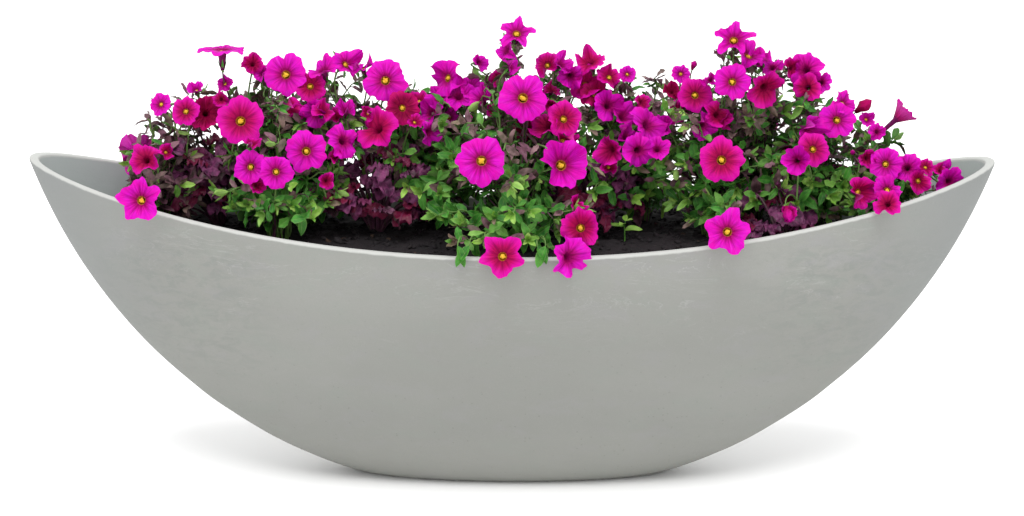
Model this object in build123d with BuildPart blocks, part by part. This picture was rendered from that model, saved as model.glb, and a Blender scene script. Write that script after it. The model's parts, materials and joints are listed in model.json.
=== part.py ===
"""Boat-shaped cast planter with drainage layers, soil and planting. Millimetres, +Z up, origin on the ground under the middle of the base."""

import os

from build123d import *

# ---- driving dimensions -------------------------------------------------
length = 1200.0  # tip to tip over the rounded rim, along X
tip_height = 411.0  # height of the two raised tips
waist_height = 322.0  # height of the rim at mid length
sheer_power = 2.1  # how late the rim sweeps up towards the tips
wall = 11.0  # shell thickness
floor_height = 18.0  # top of the inside floor

# half length and half width of the hull at each height; every level is an ellipse
end_profile = [
    (181.0, 0.0),
    (216.0, 9.0),
    (250.0, 22.5),
    (288.0, 40.0),
    (325.0, 61.0),
    (360.0, 84.0),
    (420.0, 132.0),
    (480.0, 194.0),
    (528.0, 259.0),
    (570.0, 334.0),
    (601.7, 411.5),
    (619.0, 465.0),
]
side_profile = [
    (44.0, 0.0),
    (53.5, 4.5),
    (67.0, 17.0),
    (83.5, 40.0),
    (104.6, 84.0),
    (123.0, 132.0),
    (143.3, 194.0),
    (161.8, 259.0),
    (178.0, 322.0),
    (184.6, 360.0),
    (189.9, 411.5),
    (194.0, 465.0),
]
levels = [0, 6, 14, 26, 42, 62, 86, 116, 152, 196, 248, 304, 360, 415, 450]

lip_outer = 3.0  # rounding of the rim's outer edge
lip_inner = 2.5  # rounding of the rim's inner edge

recess_depth = 5.0  # hollow under the base, inside the foot ring
foot_ring = 16.0  # width of the foot ring
notch_width = 14.0  # drain notch through the foot ring at each end
drain_r = 8.0
drain_pitch = 110.0

screen_r = 14.0
screen_thickness = 1.2
gravel_top = 60.0
fleece_thickness = 2.0
soil_top = 304.0
gap = 0.3  # clearance between fills and the shell, and between plants

# plants: name, x, y, crown radius, crown top height, root ball radius, root ball depth
plants = [
    ("petunia_1", -440.0, 5.0, 44.0, 500.0, 36.0, 60.0),
    ("purple_leaf_1", -375.0, 60.0, 40.0, 470.0, 34.0, 60.0),
    ("petunia_2", -290.0, -30.0, 54.0, 478.0, 42.0, 80.0),
    ("petunia_3", -262.0, 78.0, 56.0, 540.0, 42.0, 80.0),
    ("purple_leaf_2", -170.0, 20.0, 48.0, 445.0, 36.0, 70.0),
    ("petunia_4", -100.0, 95.0, 53.0, 530.0, 42.0, 80.0),
    ("petunia_5", 5.0, -50.0, 66.0, 600.0, 45.0, 85.0),
    ("petunia_6", 30.0, 95.0, 54.0, 565.0, 42.0, 80.0),
    ("purple_leaf_3", 100.0, 30.0, 40.0, 430.0, 34.0, 70.0),
    ("petunia_7", 165.0, 90.0, 47.0, 545.0, 40.0, 80.0),
    ("petunia_8", 250.0, 8.0, 45.0, 600.0, 42.0, 80.0),
    ("petunia_9", 308.0, 80.0, 42.0, 540.0, 34.0, 70.0),
    ("purple_leaf_4", 335.0, -45.0, 36.0, 400.0, 30.0, 60.0),
    ("petunia_10", 380.0, 30.0, 40.0, 510.0, 34.0, 70.0),
    ("petunia_11", 455.0, -10.0, 36.0, 450.0, 30.0, 55.0),
]
root_taper = 6.0  # degrees
seedling_place = (140.0, -25.0)
seedling_r = 15.0
seedling_height = 36.0

os.makedirs("parts", exist_ok=True)

# ---- hull lines ---------------------------------------------------------
with BuildLine(Plane.XZ) as end_line:
    Spline(*end_profile)
with BuildLine(Plane.YZ) as side_line:
    Spline(*side_profile)
end_curve = end_line.edges()[0]
side_curve = side_line.edges()[0]


def reach(curve, height, inset):
    """Distance from the axis to the hull line moved inwards by inset, at a height."""
    low, high = 0.0, 1.0
    out = 0.0
    for _ in range(40):
        middle = (low + high) / 2
        p = curve.position_at(middle)
        t = curve.tangent_at(middle)
        run, rise = t.X + t.Y, t.Z
        out = p.X + p.Y - inset * rise
        if p.Z + inset * run < height:
            low = middle
        else:
            high = middle
    return out


def half_axes(height, inset=0.0):
    return reach(end_curve, height, inset), reach(side_curve, height, inset)


def fill_levels(bottom, top):
    """Loft heights of a fill: its own ends and the hull levels well between them."""
    return [bottom] + [h for h in levels if bottom + 6 < h < top - 6] + [top]


# ---- shell --------------------------------------------------------------
with BuildPart() as planter_shell:
    for height in levels:
        with BuildSketch(Plane.XY.offset(height)):
            Ellipse(*half_axes(height))
    loft()
    for height in fill_levels(floor_height, levels[-1] + 1):
        with BuildSketch(Plane.XY.offset(height)):
            Ellipse(*half_axes(height, wall))
    loft(mode=Mode.SUBTRACT)
    # the rim: everything above the sheer line is cut away
    stations = [length / 2 * 1.05 * (i / 10 - 1) for i in range(21)]
    sheer = [
        (
            x,
            waist_height
            + (tip_height - waist_height) * abs(2 * x / length) ** sheer_power,
        )
        for x in stations
    ]
    with BuildSketch(Plane.XZ):
        with BuildLine():
            Spline(*sheer)
            Polyline(
                sheer[-1],
                (sheer[-1][0] + 80, 520),
                (sheer[0][0] - 80, 520),
                sheer[0],
            )
        make_face()
    extrude(amount=300, both=True, mode=Mode.SUBTRACT)
    # two rim edges outside and two inside, front and back, each tip to tip
    rim_edges = (
        planter_shell.edges()
        .filter_by(lambda e: e.center().Z > waist_height - 1 and e.length > 400)
        .sort_by(lambda e: e.bounding_box().size.X)
    )
    fillet(rim_edges[-2:], radius=lip_outer)
    rim_edges = (
        planter_shell.edges()
        .filter_by(lambda e: e.center().Z > waist_height - 1 and e.length > 400)
        .sort_by(lambda e: e.bounding_box().size.X)
    )
    fillet(rim_edges[:2], radius=lip_inner)
    # hollow under the base, leaving the foot ring
    with BuildSketch():
        Ellipse(end_profile[0][0] - foot_ring, side_profile[0][0] - foot_ring * 0.75)
    extrude(amount=recess_depth, mode=Mode.SUBTRACT)
    # drain notches through the ring, one at each end
    with BuildSketch():
        Rectangle(2 * end_profile[0][0] + 80, notch_width)
    extrude(amount=recess_depth - 1, mode=Mode.SUBTRACT)
    # drain holes
    with Locations((0, 0, floor_height)):
        with GridLocations(drain_pitch, 1, 3, 1):
            Hole(radius=drain_r)

planter_shell.part.label = "planter_shell"
export_step(planter_shell.part, "parts/planter_shell.step")

# ---- drainage -----------------------------------------------------------
with BuildPart() as drain_hole_screens:
    with BuildSketch(Plane.XY.offset(floor_height)):
        with GridLocations(drain_pitch, 1, 3, 1):
            Circle(screen_r)
            Circle(2.0, mode=Mode.SUBTRACT)
            with PolarLocations(7.0, 6):
                Circle(2.0, mode=Mode.SUBTRACT)
    extrude(amount=screen_thickness)
drain_hole_screens.part.label = "drain_hole_screens"
export_step(drain_hole_screens.part, "parts/drain_hole_screens.step")

with BuildPart() as drainage_gravel:
    for height in fill_levels(floor_height, gravel_top):
        with BuildSketch(Plane.XY.offset(height)):
            Ellipse(*half_axes(height, wall + gap))
    loft()
    with BuildSketch(Plane.XY.offset(floor_height)):
        with GridLocations(drain_pitch, 1, 3, 1):
            Circle(screen_r + gap)
    extrude(amount=screen_thickness + gap, mode=Mode.SUBTRACT)
drainage_gravel.part.label = "drainage_gravel"
export_step(drainage_gravel.part, "parts/drainage_gravel.step")

soil_bottom = gravel_top + fleece_thickness
with BuildPart() as filter_fleece:
    for height in (gravel_top, soil_bottom):
        with BuildSketch(Plane.XY.offset(height)):
            Ellipse(*half_axes(height, wall + gap))
    loft()
filter_fleece.part.label = "filter_fleece"
export_step(filter_fleece.part, "parts/filter_fleece.step")

# ---- soil with a pocket for each root ball ------------------------------
with BuildPart() as soil_fill:
    for height in fill_levels(soil_bottom, soil_top):
        with BuildSketch(Plane.XY.offset(height)):
            Ellipse(*half_axes(height, wall + gap))
    loft()
    for name, x, y, crown_r, top, ball_r, depth in plants:
        with BuildSketch(Plane.XY.offset(soil_top)):
            with Locations((x, y)):
                Circle(ball_r + gap)
        extrude(amount=-(depth + gap), taper=root_taper, mode=Mode.SUBTRACT)
soil_fill.part.label = "soil_fill"
export_step(soil_fill.part, "parts/soil_fill.step")

# ---- plants: a root ball in the soil and a crown above it ---------------
for name, x, y, crown_r, top, ball_r, depth in plants:
    with BuildPart() as root_ball:
        with BuildSketch(Plane.XY.offset(soil_top)):
            with Locations((x, y)):
                Circle(ball_r)
        extrude(amount=-depth, taper=root_taper)
    root_ball.part.label = name + "_root_ball"
    export_step(root_ball.part, "parts/" + name + "_root_ball.step")

    base = soil_top + gap
    tall = top - base
    with BuildPart() as crown:
        for share, width in (
            (0.0, 0.34),
            (0.22, 0.78),
            (0.5, 1.0),
            (0.78, 0.84),
            (1.0, 0.34),
        ):
            with BuildSketch(Plane.XY.offset(base + share * tall)):
                with Locations((x, y)):
                    Circle(crown_r * width)
        loft()
    crown.part.label = name + "_crown"
    export_step(crown.part, "parts/" + name + "_crown.step")

with BuildPart() as seedling:
    for share, width in ((0.0, 0.3), (0.5, 1.0), (1.0, 0.5)):
        with BuildSketch(Plane.XY.offset(soil_top + gap + share * seedling_height)):
            with Locations(seedling_place):
                Circle(seedling_r * width)
    loft()
seedling.part.label = "seedling"
export_step(seedling.part, "parts/seedling.step")
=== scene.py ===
import bpy, json, math
import numpy as np
from mathutils import Matrix, Vector

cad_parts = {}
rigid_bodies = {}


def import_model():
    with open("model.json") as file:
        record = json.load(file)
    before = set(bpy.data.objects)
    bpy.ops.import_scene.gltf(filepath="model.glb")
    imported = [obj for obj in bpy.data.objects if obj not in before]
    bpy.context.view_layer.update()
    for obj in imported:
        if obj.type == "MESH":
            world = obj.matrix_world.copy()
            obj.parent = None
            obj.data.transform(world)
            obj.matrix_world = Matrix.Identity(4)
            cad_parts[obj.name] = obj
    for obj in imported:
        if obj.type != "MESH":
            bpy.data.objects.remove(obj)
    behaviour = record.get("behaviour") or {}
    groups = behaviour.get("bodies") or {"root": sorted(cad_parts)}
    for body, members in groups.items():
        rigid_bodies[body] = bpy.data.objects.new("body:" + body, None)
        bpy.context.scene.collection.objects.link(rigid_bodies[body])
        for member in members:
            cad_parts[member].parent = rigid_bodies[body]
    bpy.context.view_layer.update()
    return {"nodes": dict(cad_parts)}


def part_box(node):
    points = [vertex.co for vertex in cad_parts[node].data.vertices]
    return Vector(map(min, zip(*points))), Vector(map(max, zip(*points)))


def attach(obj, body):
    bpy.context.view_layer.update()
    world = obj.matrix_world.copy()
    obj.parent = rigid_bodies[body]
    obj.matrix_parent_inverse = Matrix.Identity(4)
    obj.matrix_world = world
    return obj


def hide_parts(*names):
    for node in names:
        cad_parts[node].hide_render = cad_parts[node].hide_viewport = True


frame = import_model()
SOIL_LO, SOIL_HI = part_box("soil_fill")
SHELL_LO, SHELL_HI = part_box("planter_shell")
SOIL_Z = SOIL_HI.z
rng = np.random.default_rng(20261)

# ------------------------------------------------------------------ camera
cam = bpy.data.cameras.new("camera")
cam.sensor_width = 36.0
cam.lens = 88.995
cam.clip_end = 100.0
cam_ob = bpy.data.objects.new("camera", cam)
bpy.context.scene.collection.objects.link(cam_ob)
forward = Vector((0.000132, 0.9719515, -0.2351812))
right = Vector((0.9999902, 0.0009126, 0.0043328))
up = right.cross(forward).normalized()
cam_ob.matrix_world = Matrix(
    (
        (right.x, up.x, -forward.x, 0.0),
        (right.y, up.y, -forward.y, -3.0909626),
        (right.z, up.z, -forward.z, 1.0282209),
        (0, 0, 0, 1),
    )
)
bpy.context.scene.camera = cam_ob
bpy.context.scene.view_settings.view_transform = "Standard"


# ------------------------------------------------------------------ numbers
def unit(v):
    v = np.asarray(v, float)
    return v / np.maximum(np.linalg.norm(v, axis=-1, keepdims=True), 1e-12)


def lattice(ix, iy, iz, seed):
    h = (
        ix.astype(np.int64) * 374761393
        + iy.astype(np.int64) * 668265263
        + iz.astype(np.int64) * 1274126177
        + seed * 1442695041
    ) & 0xFFFFFFFF
    h = ((h ^ (h >> 13)) * 1103515245) & 0xFFFFFFFF
    h = ((h ^ (h >> 16)) * 2246822519) & 0xFFFFFFFF
    return ((h ^ (h >> 15)) & 0xFFFFFF) / float(0xFFFFFF)


def noise(p, seed=0):
    """Smooth value noise in 0..1 at points p (..., 3)."""
    p = np.asarray(p, float)
    i = np.floor(p)
    f = p - i
    f = f * f * (3 - 2 * f)
    i = i.astype(np.int64)
    out = 0.0
    for dx in (0, 1):
        for dy in (0, 1):
            for dz in (0, 1):
                w = (
                    (f[..., 0] if dx else 1 - f[..., 0])
                    * (f[..., 1] if dy else 1 - f[..., 1])
                    * (f[..., 2] if dz else 1 - f[..., 2])
                )
                out = out + w * lattice(
                    i[..., 0] + dx, i[..., 1] + dy, i[..., 2] + dz, seed
                )
    return out


def fbm(p, seed=0, octaves=4):
    p = np.asarray(p, float)
    out, amp, total = 0.0, 1.0, 0.0
    for k in range(octaves):
        out = out + amp * noise(p * 2**k, seed + 17 * k)
        total += amp
        amp *= 0.5
    return out / total


# ------------------------------------------------------------------ mesh store
class Store:
    """Collects many small surfaces into one mesh, with a UV and per-point numbers."""

    def __init__(self, *names):
        self.v, self.q, self.t, self.uv, self.rim = [], [], [], [], []
        self.names = names
        self.wrap = None
        self.num = {n: [] for n in names}
        self.count = 0

    def add(self, v, quads=None, tris=None, uv=None, rim=None, **num):
        v = np.asarray(v, float).reshape(-1, 3)
        n = len(v)
        self.v.append(v)
        if quads is not None and len(quads):
            self.q.append(np.asarray(quads).reshape(-1, 4) + self.count)
        if tris is not None and len(tris):
            self.t.append(np.asarray(tris).reshape(-1, 3) + self.count)
        self.uv.append(
            np.zeros((n, 2)) if uv is None else np.asarray(uv, float).reshape(-1, 2)
        )
        self.rim.append(np.zeros(n, bool) if rim is None else np.asarray(rim).ravel())
        for name in self.names:
            self.num[name].append(
                np.broadcast_to(np.asarray(num.get(name, 0.0), float), (n,))
                if np.ndim(num.get(name, 0.0)) == 0
                else np.asarray(num[name], float).ravel()
            )
        self.count += n

    def build(self, name, material, body="root", smooth=True):
        v = np.concatenate(self.v)
        # nothing hangs further out in front than the overhanging blooms may
        over = -0.188 - v[:, 1]
        v[:, 1] = np.where(over > 0, -0.188 - 0.008 * np.tanh(over / 0.008), v[:, 1])
        q = np.concatenate(self.q) if self.q else np.zeros((0, 4), int)
        t = np.concatenate(self.t) if self.t else np.zeros((0, 3), int)
        uv = np.concatenate(self.uv)
        loops = np.concatenate([q.ravel(), t.ravel()]).astype(np.int32)
        starts = np.concatenate(
            [np.arange(len(q)) * 4, len(q) * 4 + np.arange(len(t)) * 3]
        ).astype(np.int32)
        totals = np.concatenate([np.full(len(q), 4), np.full(len(t), 3)]).astype(
            np.int32
        )
        me = bpy.data.meshes.new(name)
        me.vertices.add(len(v))
        me.vertices.foreach_set("co", v.astype(np.float32).ravel())
        me.loops.add(len(loops))
        me.loops.foreach_set("vertex_index", loops)
        me.polygons.add(len(starts))
        me.polygons.foreach_set("loop_start", starts)
        me.polygons.foreach_set("loop_total", totals)
        me.update(calc_edges=True)
        layer = me.uv_layers.new(name="shape")
        luv = uv[loops]
        if self.wrap:
            # faces over the seam of a round surface count on past the last turn
            for a, b, k in ((0, len(q) * 4, 4), (len(q) * 4, len(loops), 3)):
                f = luv[a:b].reshape(-1, k, 2)
                over = (f[..., 0].max(1) - f[..., 0].min(1)) > self.wrap / 2
                f[..., 0] += self.wrap * (over[:, None] & (f[..., 0] < self.wrap / 2))
                luv[a:b] = f.reshape(-1, 2)
        layer.data.foreach_set("uv", luv.astype(np.float32).ravel())
        for key in self.names:
            a = me.attributes.new(key, "FLOAT", "POINT")
            a.data.foreach_set("value", np.concatenate(self.num[key]).astype(np.float32))
        me.polygons.foreach_set("use_smooth", np.full(len(starts), smooth))
        rim = np.concatenate(self.rim)
        if rim.any():
            e = np.zeros(len(me.edges) * 2, np.int32)
            me.edges.foreach_get("vertices", e)
            e = e.reshape(-1, 2)
            sharp = rim[e[:, 0]] & rim[e[:, 1]]
            a = me.attributes.get("sharp_edge") or me.attributes.new(
                "sharp_edge", "BOOLEAN", "EDGE"
            )
            a.data.foreach_set("value", sharp)
        me.validate()
        me.materials.append(material)
        ob = bpy.data.objects.new(name, me)
        bpy.context.scene.collection.objects.link(ob)
        if body:
            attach(ob, body)
        return ob


def sheet_faces(a, b):
    """A grid of a x b points closed by a second side that shares its border.

    Returns quads, the grid indices of the second side's own points, and the
    border flags of all points."""
    top = np.arange(a * b).reshape(a, b)
    inner = np.zeros((a, b), bool)
    inner[1:-1, 1:-1] = True
    under = top.copy()
    under[inner] = a * b + np.arange(inner.sum())
    q1 = np.stack(
        [top[:-1, :-1], top[1:, :-1], top[1:, 1:], top[:-1, 1:]], -1
    ).reshape(-1, 4)
    q2 = np.stack(
        [under[:-1, :-1], under[:-1, 1:], under[1:, 1:], under[1:, :-1]], -1
    ).reshape(-1, 4)
    rim = np.concatenate([~inner.ravel(), np.zeros(inner.sum(), bool)])
    return np.concatenate([q1, q2]), inner.ravel(), rim


LEAF_A, LEAF_B = 8, 5
LEAF_Q, LEAF_INNER, LEAF_RIM = sheet_faces(LEAF_A, LEAF_B)
# cells are split the same way on both sides, so a leaf seen edge-on stays thin


def add_leaves(store, base, along, normal, size, width, shape="ovate", droop=0.35,
               fold=0.25, ruffle=0.0, tint=0.5, thick=0.0004, grid=None, wobble=0.5,
               crumple=0.0, dusk=0.0):
    """Leaves as thin closed blades. Arrays over N leaves; along points to the tip."""
    base = np.atleast_2d(base)
    n = len(base)
    a_n, b_n = (LEAF_A, LEAF_B) if grid is None else grid
    if grid is None:
        quads, inner, rim = LEAF_Q, LEAF_INNER, LEAF_RIM
    else:
        quads, inner, rim = sheet_faces(a_n, b_n)
    s = np.linspace(0, 1, a_n)
    v = np.linspace(-1, 1, b_n)
    S, V = np.meshgrid(s, v, indexing="ij")
    if shape == "ovate":
        w = (s**0.62) * (1 - s) ** 0.72
    elif shape == "lance":
        w = (s**0.9) * (1 - s) ** 0.85
    elif shape == "spoon":
        w = (s**1.5) * (1 - s) ** 0.5
    else:
        w = (s**0.45) * (1 - s) ** 0.45
    w = w / w.max()
    w = np.maximum(w, np.where(s < 0.5, 0.07, 0.012))
    size = np.broadcast_to(size, (n,))[:, None, None]
    width = np.broadcast_to(width, (n,))[:, None, None]
    droop = np.broadcast_to(droop, (n,))[:, None, None]
    fold = np.broadcast_to(fold, (n,))[:, None, None]
    ruffle = np.broadcast_to(ruffle, (n,))[:, None, None]
    tint = np.broadcast_to(tint, (n,))
    ph = rng.uniform(0, 2 * np.pi, (n, 1, 1))
    ph2 = rng.uniform(0, 2 * np.pi, (n, 1, 1))
    freq = rng.uniform(2.2, 3.4, (n, 1, 1))
    W = w[None, :, None] * width * 0.5
    edge = np.abs(V)[None]
    wob = 1 + ruffle * wobble * np.sin(2 * np.pi * freq * 1.3 * S[None] + ph + V[None] * 2)
    y = V[None] * W * wob
    bend = droop * size
    x = S[None] * size * (1 - 0.12 * np.abs(droop) * S[None])
    z = -bend * S[None] ** 2
    z = z + fold * edge * W
    z = z + ruffle * edge**1.5 * size * 0.17 * np.sin(
        2 * np.pi * freq * S[None] + ph + np.sign(V)[None] * 1.3
    )
    z = z + size * 0.02 * np.sin(2 * np.pi * 1.3 * S[None] + ph2)
    if crumple:
        q = np.stack(np.broadcast_arrays(S[None] * 3.1 + ph, V[None] * 1.7 + ph2, freq * 3.0), -1)
        z = z + crumple * size * 0.34 * (fbm(q, 77, 3) - 0.5)
    twist = rng.uniform(-0.5, 0.5, (n, 1, 1)) * S[None]
    y, z = y * np.cos(twist) - z * np.sin(twist) * 0.3, z + y * np.sin(twist)
    X = unit(along)
    Z = unit(normal - X * (np.sum(normal * X, -1, keepdims=True)))
    Y = np.cross(Z, X)
    P = (
        base[:, None, None, :]
        + x[..., None] * X[:, None, None, :]
        + y[..., None] * Y[:, None, None, :]
        + z[..., None] * Z[:, None, None, :]
    ).reshape(n, -1, 3)
    # the underside follows the surface normal
    G = P.reshape(n, a_n, b_n, 3)
    du = np.gradient(G, axis=1)
    dv = np.gradient(G, axis=2)
    N = unit(np.cross(du, dv)).reshape(n, -1, 3)
    under = (P - N * thick)[:, inner]
    allv = np.concatenate([P, under], 1)
    m = allv.shape[1]
    uv = np.stack([S.ravel(), 0.5 + 0.5 * V.ravel()], -1)
    uv = np.concatenate([uv, uv[inner]])
    side = np.concatenate([np.ones(a_n * b_n), np.zeros(inner.sum())])
    q = quads[None] + (np.arange(n) * m)[:, None, None]
    store.add(
        allv.reshape(-1, 3),
        quads=q.reshape(-1, 4),
        uv=np.tile(uv, (n, 1)),
        rim=np.tile(rim, n),
        tint=np.repeat(tint, m),
        side=np.tile(side, n),
        dusk=np.repeat(np.broadcast_to(dusk, (n,)), m),
    )


def curve_points(p0, p1, p2, p3, n):
    t = np.linspace(0, 1, n)[:, None]
    return (
        (1 - t) ** 3 * p0
        + 3 * (1 - t) ** 2 * t * p1
        + 3 * (1 - t) * t**2 * p2
        + t**3 * p3
    )


def add_tube(store, pts, radii, sides=6, tint=0.5, side=1.0):
    """A closed tapered tube along points."""
    pts = np.asarray(pts, float)
    n = len(pts)
    radii = np.broadcast_to(radii, (n,))
    tang = unit(np.gradient(pts, axis=0))
    ref = np.array([0.0, 0.0, 1.0]) if abs(tang[0, 2]) < 0.8 else np.array([1.0, 0, 0])
    u = unit(np.cross(ref, tang[0]))
    rows = []
    ang = np.arange(sides) * 2 * np.pi / sides
    for i in range(n):
        u = unit(u - tang[i] * np.dot(u, tang[i]))
        w = np.cross(tang[i], u)
        rows.append(
            pts[i]
            + radii[i] * (np.cos(ang)[:, None] * u + np.sin(ang)[:, None] * w)
        )
    v = np.concatenate(rows + [pts[:1], pts[-1:]])
    idx = np.arange(n * sides).reshape(n, sides)
    nxt = np.roll(idx, -1, axis=1)
    quads = np.stack([idx[:-1], nxt[:-1], nxt[1:], idx[1:]], -1).reshape(-1, 4)
    tris = np.concatenate(
        [
            np.stack([nxt[0], idx[0], np.full(sides, n * sides)], -1),
            np.stack([idx[-1], nxt[-1], np.full(sides, n * sides + 1)], -1),
        ]
    )
    uv = np.zeros((len(v), 2))
    uv[: n * sides, 0] = np.repeat(np.linspace(0, 1, n), sides)
    uv[: n * sides, 1] = np.tile(np.arange(sides) / sides, n)
    store.add(v, quads=quads, tris=tris, uv=uv, tint=tint, side=side)


# ------------------------------------------------------------------ materials
class Nodes:
    """Short helper for building node trees."""

    def __init__(self, name):
        self.m = bpy.data.materials.new(name)
        self.m.use_nodes = True
        self.t = self.m.node_tree
        self.t.nodes.clear()
        self.out = self.t.nodes.new("ShaderNodeOutputMaterial")

    def n(self, kind, **props):
        node = self.t.nodes.new("ShaderNode" + kind)
        for k, v in props.items():
            setattr(node, k, v)
        return node

    def link(self, a, b):
        self.t.links.new(a, b)

    def put(self, socket, value):
        if hasattr(value, "is_output"):
            self.link(value, socket)
        elif value is not None:
            socket.default_value = value

    def coord(self, which="Object"):
        return self.n("TexCoord").outputs[which]

    def scaled(self, vec, scale):
        m = self.n("VectorMath", operation="MULTIPLY")
        self.put(m.inputs[0], vec)
        m.inputs[1].default_value = scale
        return m.outputs[0]

    def noise(self, vec, scale, detail=4.0, rough=0.5, distortion=0.0):
        x = self.n("TexNoise")
        self.put(x.inputs["Vector"], vec)
        x.inputs["Scale"].default_value = scale
        x.inputs["Detail"].default_value = detail
        x.inputs["Roughness"].default_value = rough
        x.inputs["Distortion"].default_value = distortion
        return x.outputs["Fac"]

    def voronoi(self, vec, scale, feature="F1", out="Distance", randomness=1.0):
        x = self.n("TexVoronoi", feature=feature)
        self.put(x.inputs["Vector"], vec)
        x.inputs["Scale"].default_value = scale
        x.inputs["Randomness"].default_value = randomness
        return x.outputs[out]

    def ramp(self, fac, lo, hi, a=0.0, b=1.0, smooth=True):
        x = self.n("MapRange")
        if smooth:
            x.interpolation_type = "SMOOTHSTEP"
        self.put(x.inputs["Value"], fac)
        x.inputs["From Min"].default_value = lo
        x.inputs["From Max"].default_value = hi
        self.put(x.inputs["To Min"], a)
        self.put(x.inputs["To Max"], b)
        return x.outputs[0]

    def math(self, op, a, b=None, c=None, clamp=False):
        x = self.n("Math", operation=op, use_clamp=clamp)
        self.put(x.inputs[0], a)
        if b is not None:
            self.put(x.inputs[1], b)
        if c is not None:
            self.put(x.inputs[2], c)
        return x.outputs[0]

    def mix(self, fac, a, b, blend="MIX"):
        x = self.n("Mix", data_type="RGBA", blend_type=blend)
        self.put(x.inputs["Factor"], fac)
        self.put(x.inputs[6], a)
        self.put(x.inputs[7], b)
        return x.outputs[2]

    def attr(self, name, out="Fac"):
        return self.n("Attribute", attribute_name=name).outputs[out]

    def uv(self):
        u = self.n("UVMap", uv_map="shape")
        s = self.n("SeparateXYZ")
        self.link(u.outputs[0], s.inputs[0])
        return s.outputs[0], s.outputs[1]

    def xyz(self, vec):
        s = self.n("SeparateXYZ")
        self.link(vec, s.inputs[0])
        return s.outputs

    def bump(self, height, strength=0.3, distance=0.001, normal=None):
        b = self.n("Bump")
        b.inputs["Strength"].default_value = strength
        b.inputs["Distance"].default_value = distance
        self.link(height, b.inputs["Height"])
        if normal is not None:
            self.link(normal, b.inputs["Normal"])
        return b.outputs[0]

    def surface(self, color, rough, normal=None, specular=0.5, sheen=0.0, coat=0.0,
                translucent=None, share=0.25):
        p = self.n("BsdfPrincipled")
        self.put(p.inputs["Base Color"], color)
        self.put(p.inputs["Roughness"], rough)
        p.inputs["Specular IOR Level"].default_value = specular
        if sheen:
            p.inputs["Sheen Weight"].default_value = sheen
            p.inputs["Sheen Roughness"].default_value = 0.4
        if coat:
            p.inputs["Coat Weight"].default_value = coat
            p.inputs["Coat Roughness"].default_value = 0.25
        if normal is not None:
            self.link(normal, p.inputs["Normal"])
        if translucent is None:
            self.link(p.outputs[0], self.out.inputs[0])
        else:
            t = self.n("BsdfTranslucent")
            self.put(t.inputs["Color"], translucent)
            if normal is not None:
                self.link(normal, t.inputs["Normal"])
            mix = self.n("MixShader")
            mix.inputs[0].default_value = share
            self.link(p.outputs[0], mix.inputs[1])
            self.link(t.outputs[0], mix.inputs[2])
            self.link(mix.outputs[0], self.out.inputs[0])
        return self.m


GAIN = 0.72  # the studio light is strong, so every colour is taken down by this


def rgb(r, g, b, gain=GAIN):
    """sRGB 0..255 to a linear colour."""
    def f(c):
        c /= 255
        return c / 12.92 if c <= 0.04045 else ((c + 0.055) / 1.055) ** 2.4

    return (f(r) * gain, f(g) * gain, f(b) * gain, 1.0)


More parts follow.
